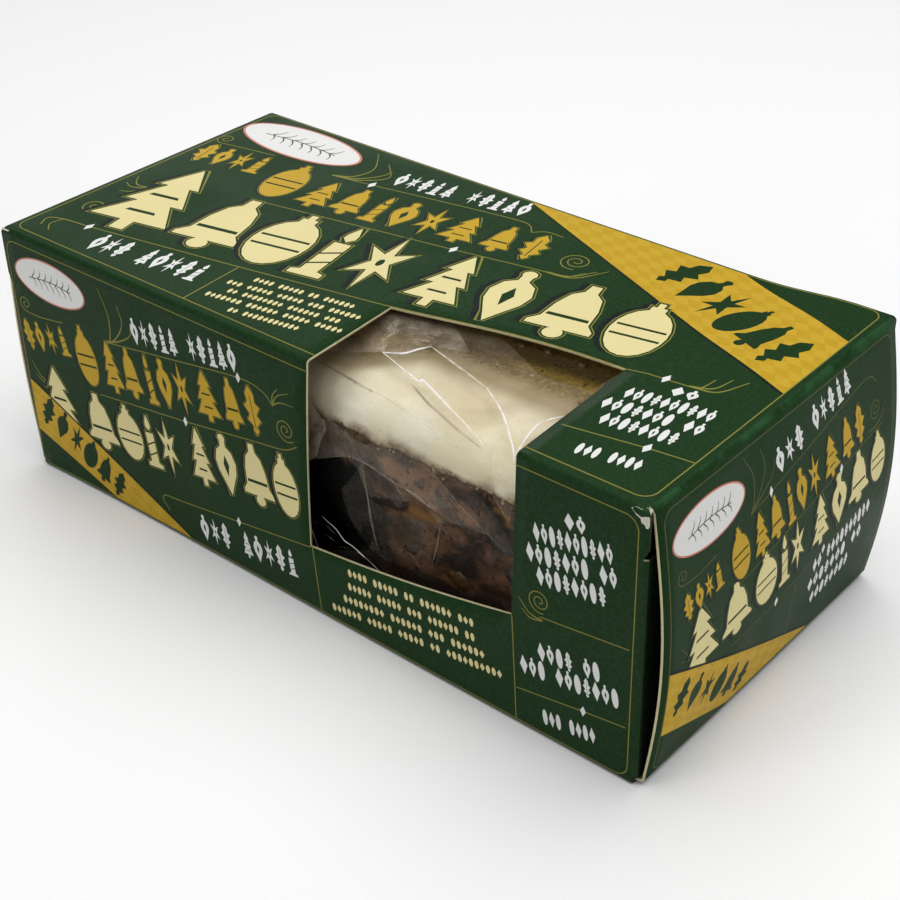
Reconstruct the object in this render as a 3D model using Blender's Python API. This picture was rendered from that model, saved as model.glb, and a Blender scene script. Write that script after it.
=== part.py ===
"""A shut windowed carton with an iced fruit cake in clear wrap inside it.

Metres, +Z up. The long way of the carton is X, its front is at -Y, and the origin is on the
floor under the middle of the carton.
"""

import math

import bmesh
import bpy
from mathutils import Matrix, Vector, noise

# Driving dimensions of the carton, from fold to fold
LENGTH = 0.1600
WIDTH = 0.0775
HEIGHT = 0.0576
BOARD = 0.0005
FOLD_RADIUS = 0.0010
GAP = 0.0003

# The window, measured from the carton's left end along its length
WINDOW_FOLD = (0.0869, 0.1339)
WINDOW_BACK = ((0.0853, 0.0241), (0.1321, 0.0327))
WINDOW_SILL = ((0.0840, 0.0157), (0.1329, 0.0240))
SILL_AT_ENDS = (0.0140, 0.0260)
LINTEL_AT_ENDS = (0.0200, 0.0340)
# How far the window's edges bow out between its corners, and how far right the far one's crown leans
SILL_BOW = 0.0008
LINTEL_BOW = 0.0016
LINTEL_LEAN = 1.25
LEFT_BOW = 0.0004

# The end closures: how far they belly out, less at the left one, and their flaps
BULGE_FRONT = 0.0032
BULGE_BACK = 0.0036
BULGE_CROWN = 0.0004
BULGE_SPAN = 0.93
LEFT_EASE = 0.60
TUCK_LENGTH = 0.0060
DUST_FLAP_LENGTH = 0.0340
LEFT_SETBACK = 0.0002
DUST_FLAP_FOOT = 0.0018

# How the board is out of true: the front's foot bows in, the back sags, the back right corner rises
FOOT_BOW = 0.0006
FOOT_BOW_PEAK = 0.25 * 0.75 ** 3
BACK_SAG = 0.00095
BACK_SAG_ENDS = (0.82, 0.95)
CORNER_LIFT = 0.00056
CORNER_LIFT_STARTS = (0.84, 0.96)

# The cake and its icing
CAKE_LENGTH = 0.1420
CAKE_FRONT = -0.03235
CAKE_BACK = 0.0356
CAKE_BASE = 0.0017
CAKE_TAPER = 0.0024
CAKE_CORNER = 0.0100
ICING_BASE = 0.0413
ICING_TOP = 0.0512
SEAM_WAVE = 0.0009
SEAM_WAVE_SIZE = 0.0110
RIM_INSET = 0.0050
LEAST_CORNER = 0.0020
CRAG = 0.0007
FRUIT_SIZE = 0.0075
CRUMB_FINENESS = 2.3
CRUMB_SHARE = 0.35
WOBBLE = 0.0004
WOBBLE_SIZE = 0.0063
AROUND = 96
# Levels at which the noise of each uneven line is read
SEAM_LEVEL = 0.022
WOBBLE_LEVEL = 0.056
RIPPLE_LEVEL = 0.071

# The clear wrap round them
FILM = 0.0003
FILM_STANDOFF = 0.0014
FILM_TOP = 0.0524
FILM_CREASE = 0.0011
FILM_CRINKLE = 0.0001
FILM_CRINKLE_SIZE = 0.0053
FILM_CORNER = 0.0030
FILM_END = 0.0780
END_THICKNESS = 0.0040
END_NARROWING = 0.0020
# Distance past the cake's end, and how far open the wrap still is there
CLOSING = ((0.0032, 0.45), (0.0050, 0.0))

HALF_LENGTH = LENGTH / 2
HALF_WIDTH = WIDTH / 2


def clear_scene():
    for old in list(bpy.data.objects):
        bpy.data.objects.remove(old, do_unlink=True)


def material(name, colour, roughness, metallic=0.0, transmission=0.0):
    made = bpy.data.materials.new(name)
    made.use_nodes = True
    shader = made.node_tree.nodes["Principled BSDF"]
    shader.inputs["Base Color"].default_value = (*colour, 1.0)
    shader.inputs["Roughness"].default_value = roughness
    shader.inputs["Metallic"].default_value = metallic
    shader.inputs["Transmission Weight"].default_value = transmission
    return made


def add_object(name, mesh_tool, made_material, smooth_angle):
    mesh = bpy.data.meshes.new(name)
    mesh_tool.to_mesh(mesh)
    mesh_tool.free()
    mesh.materials.append(made_material)
    mesh.shade_smooth()
    mesh.set_sharp_from_angle(angle=math.radians(smooth_angle))
    made = bpy.data.objects.new(name, mesh)
    bpy.context.collection.objects.link(made)
    return made


def thicken(made, thickness):
    """Gives a skin its thickness, on the inner side."""
    solid = made.modifiers.new("thickness", "SOLIDIFY")
    solid.thickness = thickness
    solid.offset = -1.0
    solid.use_even_offset = True
    solid.use_quality_normals = True


def mix(a, b, share):
    return a + (b - a) * share


def through(knots, at):
    """The value at a place along knots, which are (place, value) pairs joined by straight lines."""
    for (a, low), (b, high) in zip(knots, knots[1:]):
        if at <= b:
            return mix(low, high, (at - a) / (b - a))
    return knots[-1][1]


def smooth_step(low, high, at):
    share = min(max((at - low) / (high - low), 0.0), 1.0)
    return share * share * (3 - 2 * share)


# The carton's skin

def bow(edge, along, lean=1.0):
    """How much of its bow a window edge has at a place along the carton: none at its corners."""
    (start, _), (end, _) = edge
    share = min(max((along - start) / (end - start), 0.0), 1.0)
    return math.sin(math.pi * share ** lean)


def sill_height(along):
    """Height of the window's lower edge on the front, and of the line that carries it on."""
    knots = [(0.0, SILL_AT_ENDS[0]), *WINDOW_SILL, (LENGTH, SILL_AT_ENDS[1])]
    return through(knots, along) - SILL_BOW * bow(WINDOW_SILL, along)


def lintel_depth(along):
    """Distance of the window's far edge on the top from the front fold."""
    knots = [(0.0, LINTEL_AT_ENDS[0]), *WINDOW_BACK, (LENGTH, LINTEL_AT_ENDS[1])]
    return through(knots, along) + LINTEL_BOW * bow(WINDOW_BACK, along, LINTEL_LEAN)


def warp(x, y, z):
    """Moves a point of a true carton to where the used board has it."""
    along = min(max(x / LENGTH + 0.5, 0.0), 1.0)
    back = (y + HALF_WIDTH) / WIDTH
    up = z / HEIGHT
    bow = FOOT_BOW * along * (1 - along) ** 3 / FOOT_BOW_PEAK
    sag = BACK_SAG * along * (1 - smooth_step(*BACK_SAG_ENDS, along))
    lift = CORNER_LIFT * smooth_step(*CORNER_LIFT_STARTS, along) * back
    return Vector((x, y + bow * (1 - up) * (1 - back), z + up * back * (lift - sag)))


FRONT_STEPS = (0.0, 0.03, 0.17, 0.30, 0.47, 0.64, 0.80, 1.0)
SILL_STEP = 0.30
TOP_STEPS = (0.0, 0.17, 0.35, 0.51, 0.67, 0.84, 1.0)
LINTEL_STEP = 0.35
BACK_STEPS = (0.0, 0.20, 0.46, 0.72, 0.97, 1.0)
FOOT_STEP = 0.03
FLAP_TOP_STEP = 0.80
BOTTOM_STEPS = (0.0, 0.33, 0.67, 1.0)
FOLD_STEPS = (1 / 3, 2 / 3)


def front_height(along, step):
    knots = [(0.0, FOLD_RADIUS), (FOOT_STEP, DUST_FLAP_FOOT)]
    knots += [(SILL_STEP, sill_height(along)), (1.0, HEIGHT - FOLD_RADIUS)]
    return through(knots, step)


def top_depth(along, step):
    knots = [(0.0, FOLD_RADIUS), (LINTEL_STEP, lintel_depth(along)), (1.0, WIDTH - FOLD_RADIUS)]
    return through(knots, step)


def back_height(step):
    knots = [(0.0, HEIGHT - FOLD_RADIUS), (1 - FOOT_STEP, DUST_FLAP_FOOT), (1.0, FOLD_RADIUS)]
    return through(knots, step)


def around_fold(centre_y, centre_z, start, step):
    """A point on a rounded fold, whose arc starts at an angle from +Y and turns back by a right angle."""
    angle = math.radians(start - 90 * step)
    return centre_y + FOLD_RADIUS * math.cos(angle), centre_z + FOLD_RADIUS * math.sin(angle)


def section(panel, step, along):
    """Place (y, z) on the tube's outer face, at a step along one panel or fold."""
    inner_y = HALF_WIDTH - FOLD_RADIUS
    inner_z = HEIGHT - FOLD_RADIUS
    if panel == "front":
        return -HALF_WIDTH, front_height(along, step)
    if panel == "front_top_fold":
        return around_fold(-inner_y, inner_z, 180, step)
    if panel == "top":
        return top_depth(along, step) - HALF_WIDTH, HEIGHT
    if panel == "back_top_fold":
        return around_fold(inner_y, inner_z, 90, step)
    if panel == "back":
        return HALF_WIDTH, back_height(step)
    if panel == "back_foot_fold":
        return around_fold(inner_y, FOLD_RADIUS, 0, step)
    if panel == "bottom":
        return mix(inner_y, -inner_y, step), 0.0
    return around_fold(-inner_y, FOLD_RADIUS, -90, step)


def tube_rows():
    """The rows of the tube, upwards on the front and then over the top, down the back and under."""
    panels = [
        ("front", FRONT_STEPS),
        ("front_top_fold", FOLD_STEPS),
        ("top", TOP_STEPS),
        ("back_top_fold", FOLD_STEPS),
        ("back", BACK_STEPS),
        ("back_foot_fold", FOLD_STEPS),
        ("bottom", BOTTOM_STEPS),
        ("front_foot_fold", FOLD_STEPS),
    ]
    return [(panel, step) for panel, steps in panels for step in steps]


def side_reach(end):
    """How far from the middle the side panels and their end folds reach."""
    return HALF_LENGTH - (LEFT_SETBACK if end < 0 else 0.0)


def height_step(panel, step):
    """A side panel's step, counted from its foot."""
    return round(step if panel == "front" else 1 - step, 6)


def tube_end(panel, step, end):
    """How far from the middle a row reaches, up to its end fold or its cut edge."""
    top_end = HALF_LENGTH - FOLD_RADIUS
    if panel == "top":
        return top_end
    if panel in ("front_top_fold", "back_top_fold"):
        return mix(side_reach(end), top_end, step if panel == "front_top_fold" else 1 - step)
    if panel in ("front", "back") and height_step(panel, step) > FLAP_TOP_STEP:
        return side_reach(end)
    return side_reach(end) - FOLD_RADIUS


def window_sides(panel, step):
    """Where the window's left and right edges, or the lines that carry them on, cross a row."""
    left, right = WINDOW_FOLD
    if panel == "front":
        share = max(step - SILL_STEP, 0.0) / (1 - SILL_STEP)
        left_bow = LEFT_BOW * math.sin(math.pi * share)
        return mix(WINDOW_SILL[0][0], left, share) - left_bow, mix(WINDOW_SILL[1][0], right, share)
    if panel == "top":
        share = min(step / LINTEL_STEP, 1.0)
        return mix(left, WINDOW_BACK[0][0], share), mix(right, WINDOW_BACK[1][0], share)
    return left, right


LEFT_COLUMNS = 7
WINDOW_COLUMNS = 9
RIGHT_COLUMNS = 5


def row_places(panel, step):
    """Places along the carton of a row's points."""
    left, right = window_sides(panel, step)
    start = HALF_LENGTH - tube_end(panel, step, -1)
    end = HALF_LENGTH + tube_end(panel, step, 1)
    places = [mix(start, left, i / LEFT_COLUMNS) for i in range(LEFT_COLUMNS)]
    places += [mix(left, right, i / WINDOW_COLUMNS) for i in range(WINDOW_COLUMNS)]
    places += [mix(right, end, i / RIGHT_COLUMNS) for i in range(RIGHT_COLUMNS + 1)]
    return places


def in_window(row, column, rows):
    """Whether the face above a row and right of a column is cut out."""
    panel, step = rows[row]
    across = LEFT_COLUMNS <= column < LEFT_COLUMNS + WINDOW_COLUMNS
    on_front = panel == "front" and step >= SILL_STEP
    on_top = panel == "top" and step < LINTEL_STEP
    return across and (on_front or on_top or panel == "front_top_fold")


def bulge(y, z, end):
    """How far an end closure bellies out."""
    back = (y + HALF_WIDTH) / WIDTH
    most = mix(BULGE_FRONT, BULGE_BACK, back) + BULGE_CROWN * 4 * back * (1 - back)
    ease = LEFT_EASE if end < 0 else 1.0
    return most * ease * math.sin(math.pi * BULGE_SPAN * (HEIGHT - z) / HEIGHT)


CLOSURE_STEPS = 8
TUCK_STEPS = 2


def closure_path(y, end):
    """A closure panel from the top's end over its fold, down the end and in as a tuck flap."""
    fold_x = HALF_LENGTH - FOLD_RADIUS
    fold_z = HEIGHT - FOLD_RADIUS
    foot_z = BOARD + GAP + FOLD_RADIUS
    foot_x = HALF_LENGTH + bulge(y, foot_z, end) - FOLD_RADIUS
    path = []
    for step in (1 / 3, 2 / 3):
        angle = math.radians(90 * step)
        path.append((fold_x + FOLD_RADIUS * math.sin(angle), fold_z + FOLD_RADIUS * math.cos(angle)))
    for i in range(CLOSURE_STEPS + 1):
        z = mix(fold_z, foot_z, i / CLOSURE_STEPS)
        path.append((HALF_LENGTH + bulge(y, z, end), z))
    for step in (1 / 3, 2 / 3, 1.0):
        angle = math.radians(90 * step)
        path.append((foot_x + FOLD_RADIUS * math.cos(angle), foot_z - FOLD_RADIUS * math.sin(angle)))
    for i in range(1, TUCK_STEPS + 1):
        path.append((mix(foot_x, HALF_LENGTH - TUCK_LENGTH, i / TUCK_STEPS), BOARD + GAP))
    return path


def dust_path(side, end):
    """A dust flap from a side panel's end round its fold and across the end, as (x, y) places."""
    fold_x = side_reach(end) - FOLD_RADIUS
    fold_y = HALF_WIDTH - FOLD_RADIUS
    path = []
    for step in (1 / 3, 2 / 3, 1.0):
        angle = math.radians(90 * step)
        path.append((fold_x + FOLD_RADIUS * math.sin(angle), side * (fold_y + FOLD_RADIUS * math.cos(angle))))
    for share in (0.5, 1.0):
        path.append((fold_x + FOLD_RADIUS, side * (fold_y - DUST_FLAP_LENGTH * share)))
    return path


def strip_faces(skin, lines):
    """Joins neighbouring lines of vertices by faces."""
    for here, there in zip(lines, lines[1:]):
        for i in range(len(here) - 1):
            skin.faces.new((here[i], here[i + 1], there[i + 1], there[i]))


def add_tube(skin):
    rows = tube_rows()
    grid = []
    for panel, step in rows:
        line = []
        for along in row_places(panel, step):
            y, z = section(panel, step, along)
            line.append(skin.verts.new(warp(along - HALF_LENGTH, y, z)))
        grid.append(line)
    for row, line in enumerate(grid):
        above = grid[(row + 1) % len(grid)]
        for i in range(len(line) - 1):
            if not in_window(row, i, rows):
                skin.faces.new((line[i], line[i + 1], above[i + 1], above[i]))
    return rows, grid


def add_closure(skin, rows, grid, end):
    column = -1 if end > 0 else 0
    lines = []
    for (panel, step), line in zip(rows, grid):
        if panel != "top":
            continue
        y, _ = section(panel, step, LENGTH if end > 0 else 0.0)
        path = [skin.verts.new(warp(end * x, y, z)) for x, z in closure_path(y, end)]
        lines.append([line[column], *path])
    strip_faces(skin, lines)


def add_dust_flap(skin, rows, grid, end, side):
    column = -1 if end > 0 else 0
    panel_name = "front" if side < 0 else "back"
    lines = []
    for (panel, step), line in zip(rows, grid):
        if panel != panel_name or not FOOT_STEP <= height_step(panel, step) <= FLAP_TOP_STEP:
            continue
        _, z = section(panel, step, LENGTH if end > 0 else 0.0)
        path = [skin.verts.new(warp(end * x, y, z)) for x, y in dust_path(side, end)]
        lines.append([line[column], *path])
    strip_faces(skin, lines)


def build_carton():
    skin = bmesh.new()
    rows, grid = add_tube(skin)
    for end in (-1, 1):
        add_closure(skin, rows, grid, end)
        for side in (-1, 1):
            add_dust_flap(skin, rows, grid, end, side)
    bmesh.ops.recalc_face_normals(skin, faces=skin.faces)
    underside = min(skin.faces, key=lambda face: face.calc_center_median().z)
    if underside.normal.z > 0:
        bmesh.ops.reverse_faces(skin, faces=skin.faces)
    green_board = material("printed_board", (0.018, 0.075, 0.030), 0.42)
    carton = add_object("carton", skin, green_board, 40)
    thicken(carton, BOARD)


# The cake and the icing, as rings one above the other

def plan_ring(inset, taper=0.0):
    """Points round the loaf's outline, set in by a distance, evenly spread from the front's middle."""
    half_x = CAKE_LENGTH / 2 - inset - taper
    half_y = (CAKE_BACK - CAKE_FRONT) / 2 - inset - taper
    middle_y = (CAKE_BACK + CAKE_FRONT) / 2
    radius = max(CAKE_CORNER - inset, LEAST_CORNER)
    straight_x = 2 * (half_x - radius)
    straight_y = 2 * (half_y - radius)
    quarter = math.pi / 2 * radius
    runs = (straight_x, quarter, straight_y, quarter, straight_x, quarter, straight_y, quarter)
    around = sum(runs)
    points = []
    for i in range(AROUND):
        left = (i / AROUND * around + straight_x / 2) % around
        run = 0
        while left > runs[run]:
            left -= runs[run]
            run += 1
        points.append(plan_point(run, left, half_x, half_y, radius) + Vector((0, middle_y)))
    return points


def plan_point(run, left, half_x, half_y, radius):
    """A point on one of the eight runs of a rounded rectangle, anticlockwise from its front side."""
    inner_x = half_x - radius
    inner_y = half_y - radius
    if run % 2:
        corners = (
            (inner_x, -inner_y, -90),
            (inner_x, inner_y, 0),
            (-inner_x, inner_y, 90),
            (-inner_x, -inner_y, 180),
        )
        x, y, start = corners[run // 2]
        angle = math.radians(start) + left / radius
        return Vector((x + radius * math.cos(angle), y + radius * math.sin(angle)))
    starts = ((-inner_x, -half_y), (half_x, -inner_y), (inner_x, half_y), (-half_x, inner_y))
    ways = ((1, 0), (0, 1), (-1, 0), (0, -1))
    return Vector(starts[run // 2]) + left * Vector(ways[run // 2])


def outward(ring, i):
    """The way out of a ring at one of its points."""
    along = ring[(i + 1) % len(ring)] - ring[i - 1]
    return Vector((along.y, -along.x)).normalized()


def seam_wave(point):
    """How far the uneven line between cake and icing leaves its level."""
    return SEAM_WAVE * noise.noise(Vector((point.x, point.y, SEAM_LEVEL)) / SEAM_WAVE_SIZE)


def crag(point):
    """Rough relief of fruit and crumb, between about -1 and 1."""
    at = Vector(point) / FRUIT_SIZE
    lumps = 1 - 2 * min(noise.voronoi(at)[0][0], 1.0)
    crumbs = noise.noise(at * CRUMB_FINENESS)
    return mix(lumps, crumbs, CRUMB_SHARE)


def ring_body(rings):
    """A closed body from rings of equal count, with a flat cap at each end."""
    body = bmesh.new()
    lines = [[body.verts.new(point) for point in ring] for ring in rings]
    for here, there in zip(lines, lines[1:]):
        for i in range(AROUND):
            j = (i + 1) % AROUND
            body.faces.new((here[i], here[j], there[j], there[i]))
    caps = [body.faces.new(lines[0][::-1]), body.faces.new(lines[-1])]
    bmesh.ops.poke(body, faces=caps)
    return body


def flat_ring(inset, z, taper=0.0):
    """A level ring, a little out of true as baked edges are."""
    ring = plan_ring(inset, taper)
    points = []
    for i, point in enumerate(ring):
        off = WOBBLE * noise.noise(Vector((point.x, point.y, WOBBLE_LEVEL)) / WOBBLE_SIZE)
        points.append((point + outward(ring, i) * off).to_3d() + Vector((0, 0, z)))
    return points


def seam_ring(lift, outset=0.0):
    """The ring where the cake's side meets the icing."""
    ring = plan_ring(-outset)
    return [point.to_3d() + Vector((0, 0, ICING_BASE + seam_wave(point) + lift)) for point in ring]


FOOT_INSETS = (0.0055, 0.0012)
CAKE_LEVELS = (0.0016, 0.006, 0.0105, 0.015, 0.0195, 0.024, 0.0285, 0.033, 0.0365)


def cake_side_ring(level):
    """A ring up the loaf's rough side, which leans out towards the icing."""
    taper = CAKE_TAPER * (1 - level / (ICING_BASE - CAKE_BASE))
    ring = plan_ring(0.0, taper)
    points = []
    for i, point in enumerate(ring):
        place = point.to_3d() + Vector((0, 0, CAKE_BASE + level))
        out = outward(ring, i).to_3d()
        points.append(place + out * CRAG * crag(place))
    return points


def build_cake():
    rings = [flat_ring(inset, CAKE_BASE, CAKE_TAPER) for inset in FOOT_INSETS]
    rings += [cake_side_ring(level) for level in CAKE_LEVELS]
    rings += [seam_ring(0.0), flat_ring(RIM_INSET, ICING_BASE)]
    crumb = material("fruit_cake_crumb", (0.035, 0.014, 0.008), 0.6)
    add_object("cake", ring_body(rings), crumb, 50)


# Outset of the icing's side from the cake's, and height above its base, up to its top
ICING_SIDE = (
    (0.0003, 0.0022),
    (0.0005, 0.0045),
    (0.0002, 0.0066),
    (-0.0010, 0.0084),
    (-0.0030, 0.0096),
)
ICING_OVERLAP = 0.0002
ICING_TOP_INSETS = (0.0065, 0.0120, 0.0200)
ICING_SWELL = 0.00028
ICING_SWELL_SIZE = 0.0083
ICING_RIPPLE = 0.00035
ICING_RIPPLE_SIZE = 0.0143


def icing_side_ring(outset, level):
    """A ring up the icing's soft side, which follows the seam below and levels out above."""
    height = ICING_TOP - ICING_BASE
    ring = plan_ring(-outset)
    points = []
    for i, point in enumerate(ring):
        wave = seam_wave(point) * (1 - level / height)
        place = point.to_3d() + Vector((0, 0, ICING_BASE + level + wave))
        swell = ICING_SWELL * noise.noise(place / ICING_SWELL_SIZE)
        points.append(place + outward(ring, i).to_3d() * swell)
    return points


def icing_top_ring(inset):
    points = []
    for point in plan_ring(inset):
        ripple = ICING_RIPPLE * noise.noise(Vector((point.x, point.y, RIPPLE_LEVEL)) / ICING_RIPPLE_SIZE)
        points.append(point.to_3d() + Vector((0, 0, ICING_TOP + ripple)))
    return points


def build_icing():
    rings = [flat_ring(RIM_INSET, ICING_BASE + GAP), seam_ring(GAP, ICING_OVERLAP)]
    rings += [icing_side_ring(outset, level) for outset, level in ICING_SIDE]
    rings += [icing_top_ring(inset) for inset in ICING_TOP_INSETS]
    sugar = material("icing_sugar", (0.80, 0.73, 0.55), 0.5)
    add_object("icing", ring_body(rings), sugar, 60)


# The clear wrap, as a tube whose ends are pressed flat

FILM_TOP_STEPS = 9
FILM_SIDE_STEPS = 6
FILM_BASE_STEPS = 3
FILM_CORNER_STEPS = 2
FILM_MIDDLE_STATIONS = 21


def film_section(front, back, low, high, corner):
    """Points (y, z) of a rounded rectangle, with the way out at each, from the front's foot upwards."""
    turns = (
        (front, high, 1, -1, 180),
        (back, high, -1, -1, 90),
        (back, low, -1, 1, 0),
        (front, low, 1, 1, -90),
    )
    counts = (FILM_TOP_STEPS, FILM_SIDE_STEPS, FILM_BASE_STEPS, FILM_SIDE_STEPS)
    arcs = []
    for y, z, into_y, into_z, start in turns:
        arc = []
        for i in range(FILM_CORNER_STEPS + 1):
            angle = math.radians(start - 90 * i / FILM_CORNER_STEPS)
            way = Vector((math.cos(angle), math.sin(angle)))
            centre = Vector((y + into_y * corner, z + into_z * corner))
            arc.append((centre + corner * way, way))
        arcs.append(arc)
    points = []
    for i, arc in enumerate(arcs):
        points += arc
        here, way = arc[-1]
        there = arcs[(i + 1) % 4][0][0]
        points += [(here.lerp(there, k / counts[i]), way) for k in range(1, counts[i])]
    return points


# Three ways in which the creases' noise is read, per metre of x, y and z
CREASE_WAYS = Matrix(((26, 30, 0), (-9, -22, 22), (7, 0, 0)))
CREASE_SHARPNESS = 3.2
SLACKNESS = 0.55
SLACKNESS_CHANGE = 0.45
SLACKNESS_SIZE = 0.032


def crease(x, y, z):
    """How far the slack film stands out: sharp ridges that run askew over the cake, 0 to 1."""
    place = Vector((x, y, z))
    ridge = 1 - min(abs(noise.noise(CREASE_WAYS @ place)) * CREASE_SHARPNESS, 1.0)
    slackness = SLACKNESS + SLACKNESS_CHANGE * noise.noise(place / SLACKNESS_SIZE)
    return max(ridge * slackness, 0.0)


def film_stations():
    """Places along the film, each with how far open it is: full along the cake, pressed at the ends."""
    full = CAKE_LENGTH / 2 + FILM_STANDOFF
    last = FILM_MIDDLE_STATIONS - 1
    middle = [(mix(-full, full, i / last), 1.0) for i in range(FILM_MIDDLE_STATIONS)]
    right = [(CAKE_LENGTH / 2 + past, openness) for past, openness in CLOSING] + [(FILM_END, 0.0)]
    left = [(-x, openness) for x, openness in reversed(right)]
    return left + middle + right


def film_ring(x, openness):
    front = CAKE_FRONT - FILM_STANDOFF - FILM
    back = CAKE_BACK + FILM_STANDOFF + FILM
    low = BOARD + GAP + FILM_CRINKLE
    middle = mix(low, FILM_TOP, 0.5)
    half = mix(END_THICKNESS / 2, (FILM_TOP - low) / 2, openness)
    corner = min(FILM_CORNER, half / 2)
    narrowing = END_NARROWING * (1 - openness)
    section_points = film_section(
        front + narrowing, back - narrowing, middle - half, middle + half, corner
    )
    points = []
    for place, way in section_points:
        slack = way.x < 0 or way.y > 0.5
        stand = FILM_CREASE * crease(x, place.x, place.y) if slack else 0.0
        stand += FILM_CRINKLE * noise.noise(Vector((x, place.x, place.y)) / FILM_CRINKLE_SIZE)
        y = place.x + way.x * stand * openness
        z = place.y + way.y * stand * openness
        points.append(Vector((x, y, z)))
    return points


def build_wrap():
    skin = bmesh.new()
    lines = [[skin.verts.new(point) for point in film_ring(x, share)] for x, share in film_stations()]
    for here, there in zip(lines, lines[1:]):
        for i in range(len(here)):
            j = (i + 1) % len(here)
            skin.faces.new((here[i], there[i], there[j], here[j]))
    bmesh.ops.recalc_face_normals(skin, faces=skin.faces)
    highest = max(skin.faces, key=lambda face: face.calc_center_median().z)
    if highest.normal.z < 0:
        bmesh.ops.reverse_faces(skin, faces=skin.faces)
    film = material("clear_film", (0.9, 0.9, 0.9), 0.08, transmission=0.95)
    wrap = add_object("wrap", skin, film, 25)
    thicken(wrap, FILM)


clear_scene()
build_carton()
build_cake()
build_icing()
build_wrap()
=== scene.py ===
"""The looks of the boxed fruit cake: printed board, icing, dark crumb and clear crinkled film.

Sizes of the box and its contents are in metres. The print is laid out in millimetres on each face
of the carton, as seen from outside: u runs to the right from the face's left fold, v runs up, or
back from the front fold on the top.
"""

import math
import random

import bmesh
import bpy
from mathutils import Euler, Matrix, Vector, noise
from mathutils.bvhtree import BVHTree
from mathutils.geometry import delaunay_2d_cdt


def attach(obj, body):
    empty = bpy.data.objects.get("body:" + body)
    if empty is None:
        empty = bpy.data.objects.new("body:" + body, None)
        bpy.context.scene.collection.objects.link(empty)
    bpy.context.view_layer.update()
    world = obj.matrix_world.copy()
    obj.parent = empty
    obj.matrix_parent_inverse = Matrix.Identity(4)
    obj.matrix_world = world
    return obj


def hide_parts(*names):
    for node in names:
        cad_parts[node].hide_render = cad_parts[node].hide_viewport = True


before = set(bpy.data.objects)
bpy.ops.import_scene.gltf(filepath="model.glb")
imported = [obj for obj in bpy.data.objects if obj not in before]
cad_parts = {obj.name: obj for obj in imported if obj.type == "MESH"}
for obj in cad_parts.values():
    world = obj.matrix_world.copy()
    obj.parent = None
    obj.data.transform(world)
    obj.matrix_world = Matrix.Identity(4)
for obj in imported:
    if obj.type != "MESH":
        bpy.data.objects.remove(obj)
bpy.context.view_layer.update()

MM = 0.001

# The carton, from fold to fold, as its solid has it
LENGTH = 0.1600
WIDTH = 0.0775
HEIGHT = 0.0576
BOARD = 0.0005
FOLD_RADIUS = 0.0010
GAP = 0.0003
HALF_LENGTH = LENGTH / 2
HALF_WIDTH = WIDTH / 2

# The window, measured from the carton's left end along its length
WINDOW_FOLD = (0.0869, 0.1339)
WINDOW_BACK = ((0.0853, 0.0241), (0.1321, 0.0327))
WINDOW_SILL = ((0.0840, 0.0157), (0.1329, 0.0240))
SILL_AT_ENDS = (0.0140, 0.0260)
LINTEL_AT_ENDS = (0.0200, 0.0340)
# How far the window's edges bow out between its corners, and how far right the far one's crown leans
SILL_BOW = 0.0008
LINTEL_BOW = 0.0016
LINTEL_LEAN = 1.25
LEFT_BOW = 0.0004

# The end closures: how far they belly out, less at the left one, and their flaps
BULGE_FRONT = 0.0032
BULGE_BACK = 0.0036
BULGE_CROWN = 0.0004
BULGE_SPAN = 0.93
LEFT_EASE = 0.60
TUCK_LENGTH = 0.0060
DUST_FLAP_LENGTH = 0.0340
LEFT_SETBACK = 0.0002
DUST_FLAP_FOOT = 0.0018

# How the board is out of true: the front's foot bows in, the back sags, the back right corner rises
FOOT_BOW = 0.0006
FOOT_BOW_PEAK = 0.25 * 0.75 ** 3
BACK_SAG = 0.00095
BACK_SAG_ENDS = (0.82, 0.95)
CORNER_LIFT = 0.00056
CORNER_LIFT_STARTS = (0.84, 0.96)

# The cake and its icing
CAKE_LENGTH = 0.1420
CAKE_FRONT = -0.03235
CAKE_BACK = 0.0356
CAKE_BASE = 0.0017
CAKE_TAPER = 0.0024
CAKE_CORNER = 0.0100
LEAST_CORNER = 0.0020
ICING_BASE = 0.0413
ICING_TOP = 0.0512
SEAM_WAVE = 0.0009
SEAM_WAVE_SIZE = 0.0110
SEAM_NOTCH = 0.0006
RIM_INSET = 0.0050

# The clear wrap
FILM_STANDOFF = 0.0014
FILM_TOP = 0.0524
FILM_CORNER = 0.0030
FILM_END = 0.0780

# Ink colours, as linear light
GREEN = (0.008, 0.035, 0.007)
# The paler green along the right end's top fold: partly worn ink, partly a painted highlight
WORN_AND_HIGHLIT_GREEN = (0.024, 0.080, 0.030)
# The dust flaps' near-black green is painted shade: they lie in the closure's shadow
SHADED_FLAP_GREEN = (0.002, 0.007, 0.002)
FAINT_GOLD = (0.095, 0.105, 0.032)
CREAM = (0.76, 0.67, 0.33)
GOLD = (0.55, 0.350, 0.026)
LINE_GOLD = (0.22, 0.215, 0.042)
WHITE = (0.78, 0.78, 0.76)
SHADOW = (0.006, 0.012, 0.010)
ROSE = (0.60, 0.22, 0.16)
SLATE = (0.10, 0.11, 0.11)
# The harlequin band's two golds, and how wide and tall its diamonds are in millimetres
BAND_GOLDS = ((0.47, 0.285, 0.016), (0.56, 0.36, 0.036))
DIAMOND = (3.4, 1.9)

# Bare board: its inner face, its cut edge, a near-black cut edge painted as shade for the inked flaps and the
# tube's ends, and where the ink is torn off
INNER_BOARD = (0.26, 0.21, 0.15)
CUT_EDGE = (0.70, 0.64, 0.38)
SHADED_CUT_EDGE = (0.030, 0.032, 0.020)
TORN_BOARD = (0.70, 0.68, 0.58)
# How wide the fibres are on the inner face, at a cut edge and where the ink is torn off
INNER_FIBRE = 0.0008
CUT_FIBRE = 0.0003
TORN_FIBRE = 0.0004


def mix(a, b, share):
    return a + (b - a) * share


def spread(low, high, count):
    """Evenly spaced values after low, up to and with high."""
    return [mix(low, high, i / count) for i in range(1, count + 1)]


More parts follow.
